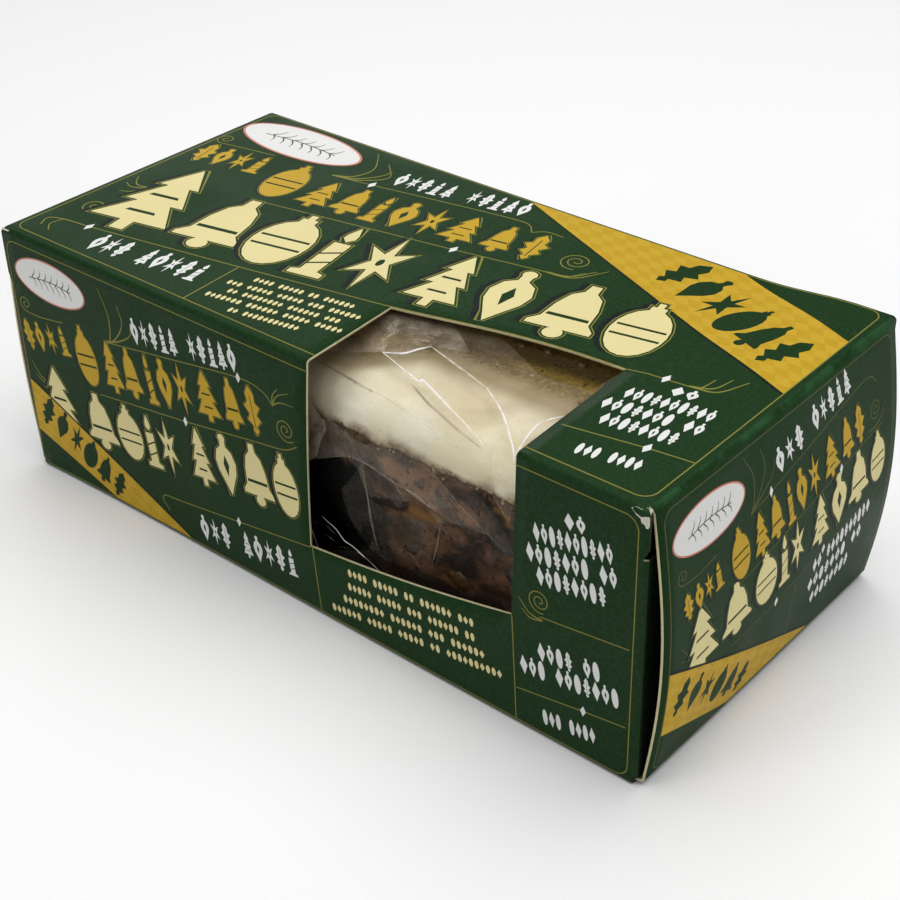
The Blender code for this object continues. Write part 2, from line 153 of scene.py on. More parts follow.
def through(knots, at):
    """The value at a place along knots, which are (place, value) pairs joined by straight lines."""
    for (a, low), (b, high) in zip(knots, knots[1:]):
        if at <= b:
            return mix(low, high, (at - a) / (b - a))
    return knots[-1][1]


def smooth_step(low, high, at):
    share = min(max((at - low) / (high - low), 0.0), 1.0)
    return share * share * (3 - 2 * share)


def link_object(name, data):
    made = bpy.data.objects.new(name, data)
    bpy.context.scene.collection.objects.link(made)
    return made


def piece_of(mesh, materials):
    """A mesh's object, named like it, which rides on the one body."""
    for made in materials:
        mesh.materials.append(made)
    mesh.shade_smooth()
    piece = link_object(mesh.name, mesh)
    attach(piece, "root")
    return piece


def new_piece(name, verts, faces, materials, slots=None):
    """A piece from lists of points and faces, with a material number for each face."""
    mesh = bpy.data.meshes.new(name)
    mesh.from_pydata([tuple(v) for v in verts], [], faces)
    if slots:
        mesh.polygons.foreach_set("material_index", slots)
    return piece_of(mesh, materials)


def skin_mesh(name, skin):
    """The mesh of a finished bmesh, which is freed."""
    mesh = bpy.data.meshes.new(name)
    skin.to_mesh(mesh)
    skin.free()
    return mesh


def store_amounts(mesh, name, amount_at, *settings):
    """Keeps an amount at each of a mesh's points for its material to read."""
    amounts = mesh.attributes.new(name, "FLOAT", "POINT")
    amounts.data.foreach_set("value", [amount_at(vertex.co, *settings) for vertex in mesh.vertices])


# Shader helpers, with the numbers of the mix node's colour sockets and of its colour result

MIX_COLOURS = (6, 7)
MIX_RESULT = 2


class Shader:
    """A material's node tree, with short ways to add and join nodes."""

    def __init__(self, name):
        self.material = bpy.data.materials.new(name)
        self.material.use_nodes = True
        self.tree = self.material.node_tree
        self.surface = self.tree.nodes["Principled BSDF"]
        self.output = self.tree.nodes["Material Output"]
        self.place = self.add("ShaderNodeTexCoord").outputs["Object"]

    def add(self, kind, settings=None, **sockets):
        node = self.tree.nodes.new(kind)
        for key, value in (settings or {}).items():
            setattr(node, key, value)
        for key, value in sockets.items():
            self.set(node, key.replace("_", " "), value)
        return node

    def set(self, node, key, value):
        """Fills a socket, by its name or number, with a value or with a link."""
        if isinstance(value, bpy.types.NodeSocket):
            self.tree.links.new(value, node.inputs[key])
        else:
            node.inputs[key].default_value = value

    def finish(self, **sockets):
        for key, value in sockets.items():
            self.set(self.surface, key.replace("_", " "), value)
        return self.material

    def finish_clear(self, solidity, tint, **sockets):
        """Ends a material that lets light pass, tinted, where its solidity is low."""
        self.finish(**sockets)
        clear = self.add("ShaderNodeBsdfTransparent", Color=(*tint, 1.0))
        blend = self.add("ShaderNodeMixShader", Fac=solidity)
        self.set(blend, 1, clear.outputs[0])
        self.set(blend, 2, self.surface.outputs[0])
        self.set(self.output, "Surface", blend.outputs[0])
        return self.material

    def noise(self, size, detail=2.0, roughness=0.5):
        """Noise whose lumps are about size metres across."""
        settings = dict(Vector=self.place, Scale=1 / size, Detail=detail, Roughness=roughness)
        return self.add("ShaderNodeTexNoise", **settings).outputs["Fac"]

    def amount(self, name):
        """An amount stored on the mesh."""
        return self.add("ShaderNodeAttribute", {"attribute_name": name}).outputs["Fac"]

    def cells(self, size):
        """Distance from the middle of cells about size metres across."""
        return self.add("ShaderNodeTexVoronoi", Vector=self.place, Scale=1 / size).outputs["Distance"]

    def range(self, value, low, high, to_low=0.0, to_high=1.0):
        settings = dict(Value=value, From_Min=low, From_Max=high, To_Min=to_low, To_Max=to_high)
        node = self.add("ShaderNodeMapRange", {"interpolation_type": "SMOOTHSTEP"}, **settings)
        return node.outputs["Result"]

    def maths(self, a, b, **settings):
        node = self.add("ShaderNodeMath", settings)
        self.set(node, 0, a)
        self.set(node, 1, b)
        return node.outputs[0]

    def sum(self, a, b):
        """Two amounts added, up to 1."""
        return self.maths(a, b, operation="ADD", use_clamp=True)

    def product(self, a, b):
        return self.maths(a, b, operation="MULTIPLY")

    def blend(self, share, a, b):
        """Colour a where share is 0 and b where it is 1."""
        node = self.add("ShaderNodeMix", {"data_type": "RGBA"})
        self.set(node, "Factor", share)
        for i, value in zip(MIX_COLOURS, (a, b)):
            self.set(node, i, value if isinstance(value, bpy.types.NodeSocket) else (*value, 1.0))
        return node.outputs[MIX_RESULT]

    def bump(self, height, strength, distance, normal=None):
        node = self.add("ShaderNodeBump", Height=height, Strength=strength, Distance=distance)
        if normal:
            self.set(node, "Normal", normal)
        return node.outputs["Normal"]


def darker(colour, share):
    return tuple(channel * share for channel in colour)


GRAIN_SIZE = 0.0006
RIPPLE_SIZE = 0.0140
CLOUD_SIZE = 0.0200
MID_GREY = (0.5, 0.5, 0.5)
SATIN = (0.38, 0.47)
SATIN_SPECULAR = 0.055


def board_finish(shader, colour):
    """The satin coat that all printed board shares: fibres under the ink and a faint ripple."""
    grain = shader.noise(GRAIN_SIZE, detail=3.0)
    ripple = shader.noise(RIPPLE_SIZE, detail=1.0)
    tone = shader.blend(shader.noise(CLOUD_SIZE), darker(colour, 0.93), colour)
    mottled = shader.blend(shader.range(grain, 0.35, 0.75), tone, shader.blend(0.5, tone, MID_GREY))
    return dict(
        Base_Color=shader.blend(0.04, tone, mottled),
        Roughness=shader.range(ripple, 0.3, 0.7, *SATIN),
        Normal=shader.bump(ripple, 0.20, 0.0010, shader.bump(grain, 0.07, 0.00005)),
        Specular_IOR_Level=SATIN_SPECULAR,
    )


def ink(name, colour):
    shader = Shader(name)
    return shader.finish(**board_finish(shader, colour))


def green_board():
    """The outer face of the board, with the ink paler along one fold: partly worn, partly a painted
    highlight.
    """
    shader = Shader("printed_board")
    finish = board_finish(shader, GREEN)
    wear_and_highlight = shader.amount("wear_and_highlight")
    streaks = shader.range(shader.noise(0.0050, detail=4.0, roughness=0.6), 0.40, 0.65)
    worn_and_highlit = shader.product(wear_and_highlight, streaks)
    finish["Base_Color"] = shader.blend(worn_and_highlit, finish["Base_Color"], WORN_AND_HIGHLIT_GREEN)
    return shader.finish(**finish)


def band_gold():
    """The two golds of the harlequin band, as tall diamonds in the band's own direction."""
    shader = Shader("harlequin_gold")
    flat = shader.add("ShaderNodeTexCoord").outputs["UV"]
    diamonds = shader.add("ShaderNodeMapping", Vector=flat, Scale=(1 / DIAMOND[0], 1 / DIAMOND[1], 1.0))
    diamonds.inputs["Rotation"].default_value = (0.0, 0.0, math.radians(45))
    checker = shader.add("ShaderNodeTexChecker", Vector=diamonds.outputs["Vector"], Scale=1.0)
    golds = shader.blend(checker.outputs["Fac"], *BAND_GOLDS)
    finish = board_finish(shader, GOLD)
    finish["Base_Color"] = shader.blend(shader.noise(0.0015), golds, darker(GOLD, 0.97))
    return shader.finish(**finish)


def bare_board(name, colour, size):
    """Unprinted board: its grey inner face or the pale fibres of a cut edge."""
    shader = Shader(name)
    fibre = shader.noise(size, detail=4.0, roughness=0.65)
    tone = shader.blend(shader.range(fibre, 0.3, 0.7), darker(colour, 0.72), colour)
    return shader.finish(
        Base_Color=tone,
        Roughness=shader.range(fibre, 0.2, 0.8, 0.75, 0.9),
        Normal=shader.bump(fibre, 0.35, 0.0001),
        Specular_IOR_Level=0.2,
    )


# The carton's skin

def bow(edge, along, lean=1.0):
    """How much of its bow a window edge has at a place along the carton: none at its corners."""
    (start, _), (end, _) = edge
    share = min(max((along - start) / (end - start), 0.0), 1.0)
    return math.sin(math.pi * share ** lean)


def sill_height(along):
    """Height of the window's lower edge on the front, and of the line that carries it on."""
    knots = [(0.0, SILL_AT_ENDS[0]), *WINDOW_SILL, (LENGTH, SILL_AT_ENDS[1])]
    return through(knots, along) - SILL_BOW * bow(WINDOW_SILL, along)


def lintel_depth(along):
    """Distance of the window's far edge on the top from the front fold."""
    knots = [(0.0, LINTEL_AT_ENDS[0]), *WINDOW_BACK, (LENGTH, LINTEL_AT_ENDS[1])]
    return through(knots, along) + LINTEL_BOW * bow(WINDOW_BACK, along, LINTEL_LEAN)


def warp(x, y, z):
    """Moves a point of a true carton to where the used board has it."""
    along = min(max(x / LENGTH + 0.5, 0.0), 1.0)
    back = (y + HALF_WIDTH) / WIDTH
    up = z / HEIGHT
    foot_bow = FOOT_BOW * along * (1 - along) ** 3 / FOOT_BOW_PEAK
    sag = BACK_SAG * along * (1 - smooth_step(*BACK_SAG_ENDS, along))
    lift = CORNER_LIFT * smooth_step(*CORNER_LIFT_STARTS, along) * back
    return Vector((x, y + foot_bow * (1 - up) * (1 - back), z + up * back * (lift - sag)))


def bulge(y, z, end):
    """How far an end closure bellies out."""
    back = (y + HALF_WIDTH) / WIDTH
    most = mix(BULGE_FRONT, BULGE_BACK, back) + BULGE_CROWN * 4 * back * (1 - back)
    ease = LEFT_EASE if end < 0 else 1.0
    return most * ease * math.sin(math.pi * BULGE_SPAN * (HEIGHT - z) / HEIGHT)


# Steps run from 0 to 1 up the front, back over the top and down the back
SILL_STEP = 0.30
LINTEL_STEP = 0.35
FOOT_STEP = 0.03
FLAP_TOP_STEP = 0.80
FRONT_STEPS = [0.0, FOOT_STEP, *spread(FOOT_STEP, SILL_STEP, 5), *spread(SILL_STEP, 1.0, 14)]
TOP_STEPS = [0.0, *spread(0.0, LINTEL_STEP, 9), *spread(LINTEL_STEP, 1.0, 16)]
BACK_STEPS = [0.0, *spread(0.0, 1 - FLAP_TOP_STEP, 4), *spread(1 - FLAP_TOP_STEP, 1 - FOOT_STEP, 12), 1.0]
BOTTOM_STEPS = [0.0, *spread(0.0, 1.0, 10)]
FOLD_STEPS = spread(0.0, 1.0, 6)[:-1]
LEFT_COLUMNS = 28
WINDOW_COLUMNS = 16
RIGHT_COLUMNS = 10
CLOSURE_STEPS = 26
TUCK_STEPS = 3
DUST_FLAP_STEPS = 6
# Where along a dust flap its near-black ink, painted shade, starts
FOLD_EDGE = 4
# The board's materials go in threes: a face, its inner side and its cut edge
SHADED_FLAP_SLOT = 3
END_SLOT = 6


def front_height(along, step):
    knots = [(0.0, FOLD_RADIUS), (FOOT_STEP, DUST_FLAP_FOOT)]
    knots += [(SILL_STEP, sill_height(along)), (1.0, HEIGHT - FOLD_RADIUS)]
    return through(knots, step)


def top_depth(along, step):
    knots = [(0.0, FOLD_RADIUS), (LINTEL_STEP, lintel_depth(along)), (1.0, WIDTH - FOLD_RADIUS)]
    return through(knots, step)


def back_height(step):
    knots = [(0.0, HEIGHT - FOLD_RADIUS), (1 - FOOT_STEP, DUST_FLAP_FOOT), (1.0, FOLD_RADIUS)]
    return through(knots, step)


def around_fold(centre_y, centre_z, start, step):
    """A point on a rounded fold, whose arc starts at an angle from +Y and turns back by a right angle."""
    angle = math.radians(start - 90 * step)
    return centre_y + FOLD_RADIUS * math.cos(angle), centre_z + FOLD_RADIUS * math.sin(angle)


def section(panel, step, along):
    """Place (y, z) on the tube's outer face, at a step along one panel or fold."""
    inner_y = HALF_WIDTH - FOLD_RADIUS
    inner_z = HEIGHT - FOLD_RADIUS
    if panel == "front":
        return -HALF_WIDTH, front_height(along, step)
    if panel == "front_top_fold":
        return around_fold(-inner_y, inner_z, 180, step)
    if panel == "top":
        return top_depth(along, step) - HALF_WIDTH, HEIGHT
    if panel == "back_top_fold":
        return around_fold(inner_y, inner_z, 90, step)
    if panel == "back":
        return HALF_WIDTH, back_height(step)
    if panel == "back_foot_fold":
        return around_fold(inner_y, FOLD_RADIUS, 0, step)
    if panel == "bottom":
        return mix(inner_y, -inner_y, step), 0.0
    return around_fold(-inner_y, FOLD_RADIUS, -90, step)


def tube_rows():
    """The rows of the tube, upwards on the front and then over the top, down the back and under."""
    panels = [
        ("front", FRONT_STEPS),
        ("front_top_fold", FOLD_STEPS),
        ("top", TOP_STEPS),
        ("back_top_fold", FOLD_STEPS),
        ("back", BACK_STEPS),
        ("back_foot_fold", FOLD_STEPS),
        ("bottom", BOTTOM_STEPS),
        ("front_foot_fold", FOLD_STEPS),
    ]
    return [(panel, step) for panel, steps in panels for step in steps]


def side_reach(end):
    """How far from the middle the side panels and their end folds reach."""
    return HALF_LENGTH - (LEFT_SETBACK if end < 0 else 0.0)


def height_step(panel, step):
    """A side panel's step, counted from its foot."""
    return round(step if panel == "front" else 1 - step, 6)


def tube_end(panel, step, end):
    """How far from the middle a row reaches, up to its end fold or its cut edge."""
    top_end = HALF_LENGTH - FOLD_RADIUS
    if panel == "top":
        return top_end
    if panel in ("front_top_fold", "back_top_fold"):
        return mix(side_reach(end), top_end, step if panel == "front_top_fold" else 1 - step)
    if panel in ("front", "back") and height_step(panel, step) > FLAP_TOP_STEP:
        return side_reach(end)
    return side_reach(end) - FOLD_RADIUS


def window_sides(panel, step):
    """Where the window's left and right edges, or the lines that carry them on, cross a row."""
    left, right = WINDOW_FOLD
    if panel == "front":
        share = max(step - SILL_STEP, 0.0) / (1 - SILL_STEP)
        left_bow = LEFT_BOW * math.sin(math.pi * share)
        return mix(WINDOW_SILL[0][0], left, share) - left_bow, mix(WINDOW_SILL[1][0], right, share)
    if panel == "top":
        share = min(step / LINTEL_STEP, 1.0)
        return mix(left, WINDOW_BACK[0][0], share), mix(right, WINDOW_BACK[1][0], share)
    return left, right


def row_places(panel, step):
    """Places along the carton of a row's points."""
    left, right = window_sides(panel, step)
    start = HALF_LENGTH - tube_end(panel, step, -1)
    end = HALF_LENGTH + tube_end(panel, step, 1)
    places = [start, *spread(start, left, LEFT_COLUMNS)]
    return places + spread(left, right, WINDOW_COLUMNS) + spread(right, end, RIGHT_COLUMNS)


def in_window(panel, step, column):
    """Whether the face above a row and right of a column is cut out."""
    across = LEFT_COLUMNS <= column < LEFT_COLUMNS + WINDOW_COLUMNS
    on_front = panel == "front" and round(step, 6) >= SILL_STEP
    on_top = panel == "top" and round(step, 6) < LINTEL_STEP
    return across and (on_front or on_top or panel == "front_top_fold")


def closure_path(y, end):
    """A closure panel from the top's end over its fold, down the end and in as a tuck flap."""
    fold_x = HALF_LENGTH - FOLD_RADIUS
    fold_z = HEIGHT - FOLD_RADIUS
    foot_z = BOARD + GAP + FOLD_RADIUS
    foot_x = HALF_LENGTH + bulge(y, foot_z, end) - FOLD_RADIUS
    path = []
    for step in FOLD_STEPS:
        angle = math.radians(90 * step)
        path.append((fold_x + FOLD_RADIUS * math.sin(angle), fold_z + FOLD_RADIUS * math.cos(angle)))
    for z in [fold_z, *spread(fold_z, foot_z, CLOSURE_STEPS)]:
        path.append((HALF_LENGTH + bulge(y, z, end), z))
    for step in [*FOLD_STEPS, 1.0]:
        angle = math.radians(90 * step)
        path.append((foot_x + FOLD_RADIUS * math.cos(angle), foot_z - FOLD_RADIUS * math.sin(angle)))
    for x in spread(foot_x, HALF_LENGTH - TUCK_LENGTH, TUCK_STEPS):
        path.append((x, BOARD + GAP))
    return path


def dust_path(side, end):
    """A dust flap from a side panel's end round its fold and across the end, as (x, y) places."""
    fold_x = side_reach(end) - FOLD_RADIUS
    fold_y = HALF_WIDTH - FOLD_RADIUS
    path = []
    for step in [*FOLD_STEPS, 1.0]:
        angle = math.radians(90 * step)
        path.append((fold_x + FOLD_RADIUS * math.sin(angle), side * (fold_y + FOLD_RADIUS * math.cos(angle))))
    for share in spread(0.0, 1.0, DUST_FLAP_STEPS):
        path.append((fold_x + FOLD_RADIUS, side * (fold_y - DUST_FLAP_LENGTH * share)))
    return path


def strip_faces(skin, lines, slot=0):
    """Joins neighbouring lines of vertices by faces with one material number."""
    made = []
    for here, there in zip(lines, lines[1:]):
        for i in range(len(here) - 1):
            face = skin.faces.new((here[i], here[i + 1], there[i + 1], there[i]))
            face.material_index = slot
            made.append(face)
    return made


def add_tube(skin):
    rows = tube_rows()
    grid = []
    for panel, step in rows:
        line = []
        for along in row_places(panel, step):
            y, z = section(panel, step, along)
            line.append(skin.verts.new(warp(along - HALF_LENGTH, y, z)))
        grid.append(line)
    for (panel, step), line, above in zip(rows, grid, grid[1:] + grid[:1]):
        for i in range(len(line) - 1):
            if not in_window(panel, step, i):
                face = skin.faces.new((line[i], line[i + 1], above[i + 1], above[i]))
                if i in (0, len(line) - 2):
                    face.material_index = END_SLOT
    return rows, grid


def add_closure(skin, rows, grid, end):
    lines = []
    for (panel, step), line in zip(rows, grid):
        if panel == "top":
            y, _ = section(panel, step, LENGTH if end > 0 else 0.0)
            path = [skin.verts.new(warp(end * x, y, z)) for x, z in closure_path(y, end)]
            lines.append([line[-1 if end > 0 else 0], *path])
    strip_faces(skin, lines)


def add_dust_flap(skin, rows, grid, end, side):
    """Adds a dust flap, whose faces past its fold get near-black ink as painted shade from the closure over
    them.
    """
    lines = []
    for (panel, step), line in zip(rows, grid):
        if panel != ("front" if side < 0 else "back"):
            continue
        if FOOT_STEP <= height_step(panel, step) <= FLAP_TOP_STEP:
            _, z = section(panel, step, LENGTH if end > 0 else 0.0)
            path = [skin.verts.new(warp(end * x, y, z)) for x, y in dust_path(side, end)]
            lines.append([line[-1 if end > 0 else 0], *path])
    strip_faces(skin, [line[: FOLD_EDGE + 1] for line in lines])
    strip_faces(skin, [line[FOLD_EDGE:] for line in lines], SHADED_FLAP_SLOT)


# How far from the right end's top fold the ink is paler, worn and painted with a highlight
WEAR_AND_HIGHLIGHT_REACH = 0.0010


def wear_and_highlight_at(point):
    """How far the ink is paler along the right end's top fold, worn and painted with a highlight, and sound
    elsewhere.
    """
    off_fold = math.hypot(HALF_LENGTH - point.x, HEIGHT - point.z)
    return 1.0 - smooth_step(0.5 * WEAR_AND_HIGHLIGHT_REACH, WEAR_AND_HIGHLIGHT_REACH, off_fold)


def build_carton():
    skin = bmesh.new()
    rows, grid = add_tube(skin)
    for end in (-1, 1):
        add_closure(skin, rows, grid, end)
        for side in (-1, 1):
            add_dust_flap(skin, rows, grid, end, side)
    bmesh.ops.recalc_face_normals(skin, faces=skin.faces)
    underside = min(skin.faces, key=lambda face: face.calc_center_median().z)
    if underside.normal.z > 0:
        bmesh.ops.reverse_faces(skin, faces=skin.faces)
    mesh = skin_mesh("carton_board", skin)
    store_amounts(mesh, "wear_and_highlight", wear_and_highlight_at)
    inside = bare_board("board_inside", INNER_BOARD, INNER_FIBRE)
    cut_edge = bare_board("board_cut_edge", CUT_EDGE, CUT_FIBRE)
    shaded_cut_edge = bare_board("shaded_cut_edge_board", SHADED_CUT_EDGE, CUT_FIBRE)
    green = green_board()
    flap = ink("shaded_flap_ink", SHADED_FLAP_GREEN)
    # The flaps and the cut edges of the tube's ends take near-black board: painted shade
    boards = (green, inside, cut_edge, flap, inside, shaded_cut_edge, green, inside, shaded_cut_edge)
    carton = piece_of(mesh, boards)
    solid = carton.modifiers.new("thickness", "SOLIDIFY")
    solid.thickness = BOARD
    solid.offset = -1.0
    solid.use_even_offset = True
    solid.use_quality_normals = True
    solid.material_offset = 1
    solid.material_offset_rim = 2
    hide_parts("carton")


# Faces of the carton, as functions from the print's (u, v) to a point

def on_top(u, v):
    return warp(u * MM - HALF_LENGTH, v * MM - HALF_WIDTH, HEIGHT)


def on_front(u, v):
    """The front, and on over its rounded top fold."""
    fold_foot = HEIGHT - FOLD_RADIUS
    y = -HALF_WIDTH
    z = v * MM
    if z > fold_foot:
        quarter = math.pi / 2 * FOLD_RADIUS
        y, z = around_fold(FOLD_RADIUS - HALF_WIDTH, fold_foot, 180, (z - fold_foot) / quarter)
    return warp(u * MM - HALF_LENGTH, y, z)


def on_back(u, v):
    return warp(HALF_LENGTH - u * MM, HALF_WIDTH, v * MM)


def on_bottom(u, v):
    return warp(u * MM - HALF_LENGTH, HALF_WIDTH - v * MM, 0.0)


def on_right_end(u, v):
    y = u * MM - HALF_WIDTH
    z = v * MM
    return warp(HALF_LENGTH + bulge(y, z, 1), y, z)


def on_left_end(u, v):
    y = HALF_WIDTH - u * MM
    z = v * MM
    return warp(-HALF_LENGTH - bulge(y, z, -1), y, z)


def outward_at(face, u, v):
    """The face's own way out, from its slope at a point."""
    across = face(u + SLOPE_STEP, v) - face(u - SLOPE_STEP, v)
    upwards = face(u, v + SLOPE_STEP) - face(u, v - SLOPE_STEP)
    return across.cross(upwards).normalized()


# Drawing: every outline is a list of (u, v) vectors, and a shape is an ink with an outline

INK_STEP = 2.5
INK_LIFT = 0.00003
INK_DEPTH = 0.00006
INK_TOLERANCE = 1e-4
LATTICE_START = (0.37, 0.41)
BAND_TURN = math.radians(-26)
SLOPE_STEP = 0.05
# Which triangles a triangulation keeps
ALL_TRIANGLES = 0
TRIANGLES_INSIDE = 1


def anticlockwise(outline):
    area = sum(a.cross(b) for a, b in zip(outline, outline[1:] + outline[:1])) / 2
    return outline[::-1] if area < 0 else outline


def densified(outline):
    """The outline anticlockwise, with no stretch longer than a step."""
    outline = anticlockwise(outline)
    points = []
    for here, there in zip(outline, outline[1:] + outline[:1]):
        count = max(1, math.ceil((there - here).length / INK_STEP))
        points += [here.lerp(there, k / count) for k in range(count)]
    return points


def lattice(outlines):
    """Points inside the shapes' reach, so that broad shapes bend with the board."""
    reach = [point for outline in outlines for point in outline]
    low_u = min(p.x for p in reach)
    low_v = min(p.y for p in reach)
    columns = int((max(p.x for p in reach) - low_u) / INK_STEP)
    rows = int((max(p.y for p in reach) - low_v) / INK_STEP)
    return [
        Vector((low_u + (i + LATTICE_START[0]) * INK_STEP, low_v + (j + LATTICE_START[1]) * INK_STEP))
        for i in range(columns)
        for j in range(rows)
    ]


def inked_triangles(shapes, names):
    """The shapes as triangles side by side, without what later shapes cover: points, corners, inks."""
    outlines = [densified([Vector(p) for p in outline]) for _, outline in shapes]
    points = []
    loops = []
    for outline in outlines:
        loops.append(list(range(len(points), len(points) + len(outline))))
        points += outline
    points += lattice(outlines)
    found = delaunay_2d_cdt(points, [], loops, TRIANGLES_INSIDE, INK_TOLERANCE)
    flat, _, triangles, _, _, sources = found
    kept = []
    slots = []
    for triangle, under in zip(triangles, sources):
        colour = shapes[max(under)][0] if under else None
        if colour is not None:
            kept.append(triangle)
            slots.append(names.index(colour))
    used = sorted({i for triangle in kept for i in triangle})
    number = {old: new for new, old in enumerate(used)}
    return [flat[i] for i in used], [[number[i] for i in triangle] for triangle in kept], slots


def open_sides(triangles, slots):
    """The sides that only one triangle has, each with that triangle's ink."""
    sides = {}
    for triangle, slot in zip(triangles, slots):
        for a, b in zip(triangle, triangle[1:] + triangle[:1]):
            if (b, a) in sides:
                del sides[(b, a)]
            else:
                sides[(a, b)] = slot
    return sides


def print_on(name, face, shapes, inks):
    """Lays inked shapes, later ones on top, as one thin layer of ink on a face of the carton."""
    flat, upper, slots = inked_triangles(shapes, list(inks))
    outs = [outward_at(face, u, v) for u, v in flat]
    tops = [face(u, v) + out * INK_LIFT for (u, v), out in zip(flat, outs)]
    feet = [face(u, v) - out * INK_DEPTH for (u, v), out in zip(flat, outs)]
    below = len(flat)
    lower = [[i + below for i in triangle[::-1]] for triangle in upper]
    sides = open_sides(upper, slots)
    walls = [[b, a, a + below, b + below] for a, b in sides]
    every_slot = slots + slots + list(sides.values())
    piece = new_piece(name, tops + feet, upper + lower + walls, inks.values(), every_slot)
    layer = piece.data.uv_layers.new(name="print")
    turn = Matrix.Rotation(-BAND_TURN, 2)
    turned = [turn @ Vector(point) for point in flat] * 2
    for loop in piece.data.loops:
        layer.data[loop.index].uv = turned[loop.vertex_index]
    piece.data.normals_split_custom_set_from_vertices(outs + outs)


def smooth_line(knots, steps=6):
    """A curve through given points."""
    knots = [Vector(k) for k in knots]
    ends = [knots[0] * 2 - knots[1], *knots, knots[-1] * 2 - knots[-2]]
    line = [knots[0]]
    for a, b, c, d in zip(ends, ends[1:], ends[2:], ends[3:]):
        for t in spread(0.0, 1.0, steps):
            bend = (2 * a - 5 * b + 4 * c - d) * t ** 2
            twist = (3 * b - a - 3 * c + d) * t ** 3
            line.append(0.5 * (2 * b + (c - a) * t + bend + twist))
    return line


def stroke(line, width, start=1.0, end=1.0):
    """The outline of a line, with the shares of its width that its two ends keep."""
    line = [Vector(p) for p in line]
    left = []
    right = []
    for i, point in enumerate(line):
        along = (line[min(i + 1, len(line) - 1)] - line[max(i - 1, 0)]).normalized()
        half = width / 2 * mix(start, end, i / (len(line) - 1))
        side = Vector((-along.y, along.x)) * half
        left.append(point + side)
        right.append(point - side)
    return right + left[::-1]


def oval(centre, across, tall, count):
    angles = [2 * math.pi * i / count for i in range(count)]
    return [Vector((centre[0] + across * math.cos(a), centre[1] + tall * math.sin(a))) for a in angles]


TOP_LINE = 0.25
SIDE_LINE = 0.21
# How many points a spiral has for each turn, and the share of its radius where it starts
SPIRAL_STEPS = 18
SPIRAL_START = 0.12
# How many steps a border's rounded corner has
BORDER_STEPS = 6


def rule(points, width=TOP_LINE):
    return [("line", stroke(points, width))]


def curve(knots, width=TOP_LINE):
    return rule(smooth_line(knots), width)


def spiral(centre, radius, turns, start, width):
    """A line that winds out from the middle to radius, and reaches it at the angle start."""
    count = int(turns * SPIRAL_STEPS)
    line = []
    for i in range(count + 1):
        share = i / count
        angle = math.radians(start) - 2 * math.pi * turns * (1 - share)
        reach = radius * mix(SPIRAL_START, 1.0, share)
        line.append(Vector(centre) + reach * Vector((math.cos(angle), math.sin(angle))))
    return rule(line, width)


def feather(base, tips, width=0.34):
    """Curling strokes that rise from one point, each given by its knots after the base."""
    return [("line", stroke(smooth_line([base, *tip]), width, 1.4, 0.5)) for tip in tips]


def kites(places, across=1.5, tall=3.0):
    """Small white diamonds on end."""
    corners = ((across / 2, 0.0), (0.0, tall / 2), (-across / 2, 0.0), (0.0, -tall / 2))
    return [("white", [(u + off, v + up) for off, up in corners]) for u, v in places]


def frame_lines(left, low, right, high, corner, width):
    """A ruled border with rounded corners, as two halves."""
    path = []
    for u, v, start in (
        (right - corner, high - corner, 90),
        (right - corner, low + corner, 0),
        (left + corner, low + corner, -90),
        (left + corner, high - corner, -180),
    ):
        for step in range(BORDER_STEPS + 1):
            angle = math.radians(start - 90 / BORDER_STEPS * step)
            path.append(Vector((u + corner * math.cos(angle), v + corner * math.sin(angle))))
    half = len(path) // 2
    return rule(path[: half + 1], width) + rule(path[half:] + path[:1], width)


# Ornaments, in a box from -0.5 to 0.5 across and from 0 to 1 up: filled outlines, then cut outlines

STAR_POINTS = 6
STAR_WAIST = 0.36


def both_sides(right_half):
    return right_half + [(-u, v) for u, v in reversed(right_half)]


def ring_points(centre_v, across, tall, count=20):
    return [tuple(p) for p in oval((0.0, centre_v), across, tall, count)]


def fir():
    trunk = [(0.09, 0.0), (0.09, 0.13)]
    tiers = [(0.50, 0.13), (0.22, 0.42), (0.38, 0.42), (0.14, 0.70), (0.26, 0.70), (0.0, 1.0)]
    garlands = [both_sides([(0.20, low), (0.17, low + 0.035)]) for low in (0.26, 0.52)]
    return [both_sides(trunk + tiers)], garlands


def bell():
    body = [(0.50, 0.16), (0.50, 0.22), (0.37, 0.32), (0.33, 0.58), (0.24, 0.78), (0.10, 0.87), (0.08, 1.0)]
    ribbon = both_sides([(0.33, 0.36), (0.32, 0.41)])
    return [both_sides(body), ring_points(0.09, 0.15, 0.09, 12)], [ribbon]


def bauble():
    cap = both_sides([(0.14, 0.82), (0.14, 0.92), (0.06, 0.92), (0.06, 1.0)])
    bands = [both_sides([(0.44, v), (0.44, v + 0.035)]) for v in (0.32, 0.49)]
    return [ring_points(0.43, 0.5, 0.43), cap], bands


def candle():
    stick = both_sides([(0.46, 0.0), (0.46, 0.07), (0.24, 0.10), (0.24, 0.66)])
    flame = both_sides([(0.0, 0.70), (0.17, 0.77), (0.15, 0.85), (0.0, 1.0)])
    wraps = [[(-0.24, v), (0.24, v + 0.09), (0.24, v + 0.12), (-0.24, v + 0.03)] for v in (0.2, 0.4)]
    return [stick, flame], wraps


def star():
    outline = []
    for i in range(STAR_POINTS * 2):
        reach = 0.5 if i % 2 == 0 else 0.5 * STAR_WAIST
        angle = math.pi / 2 + math.pi * i / STAR_POINTS
        outline.append((reach * math.cos(angle), 0.5 + reach * math.sin(angle)))
    return [outline], [ring_points(0.5, 0.07, 0.07, 8)]


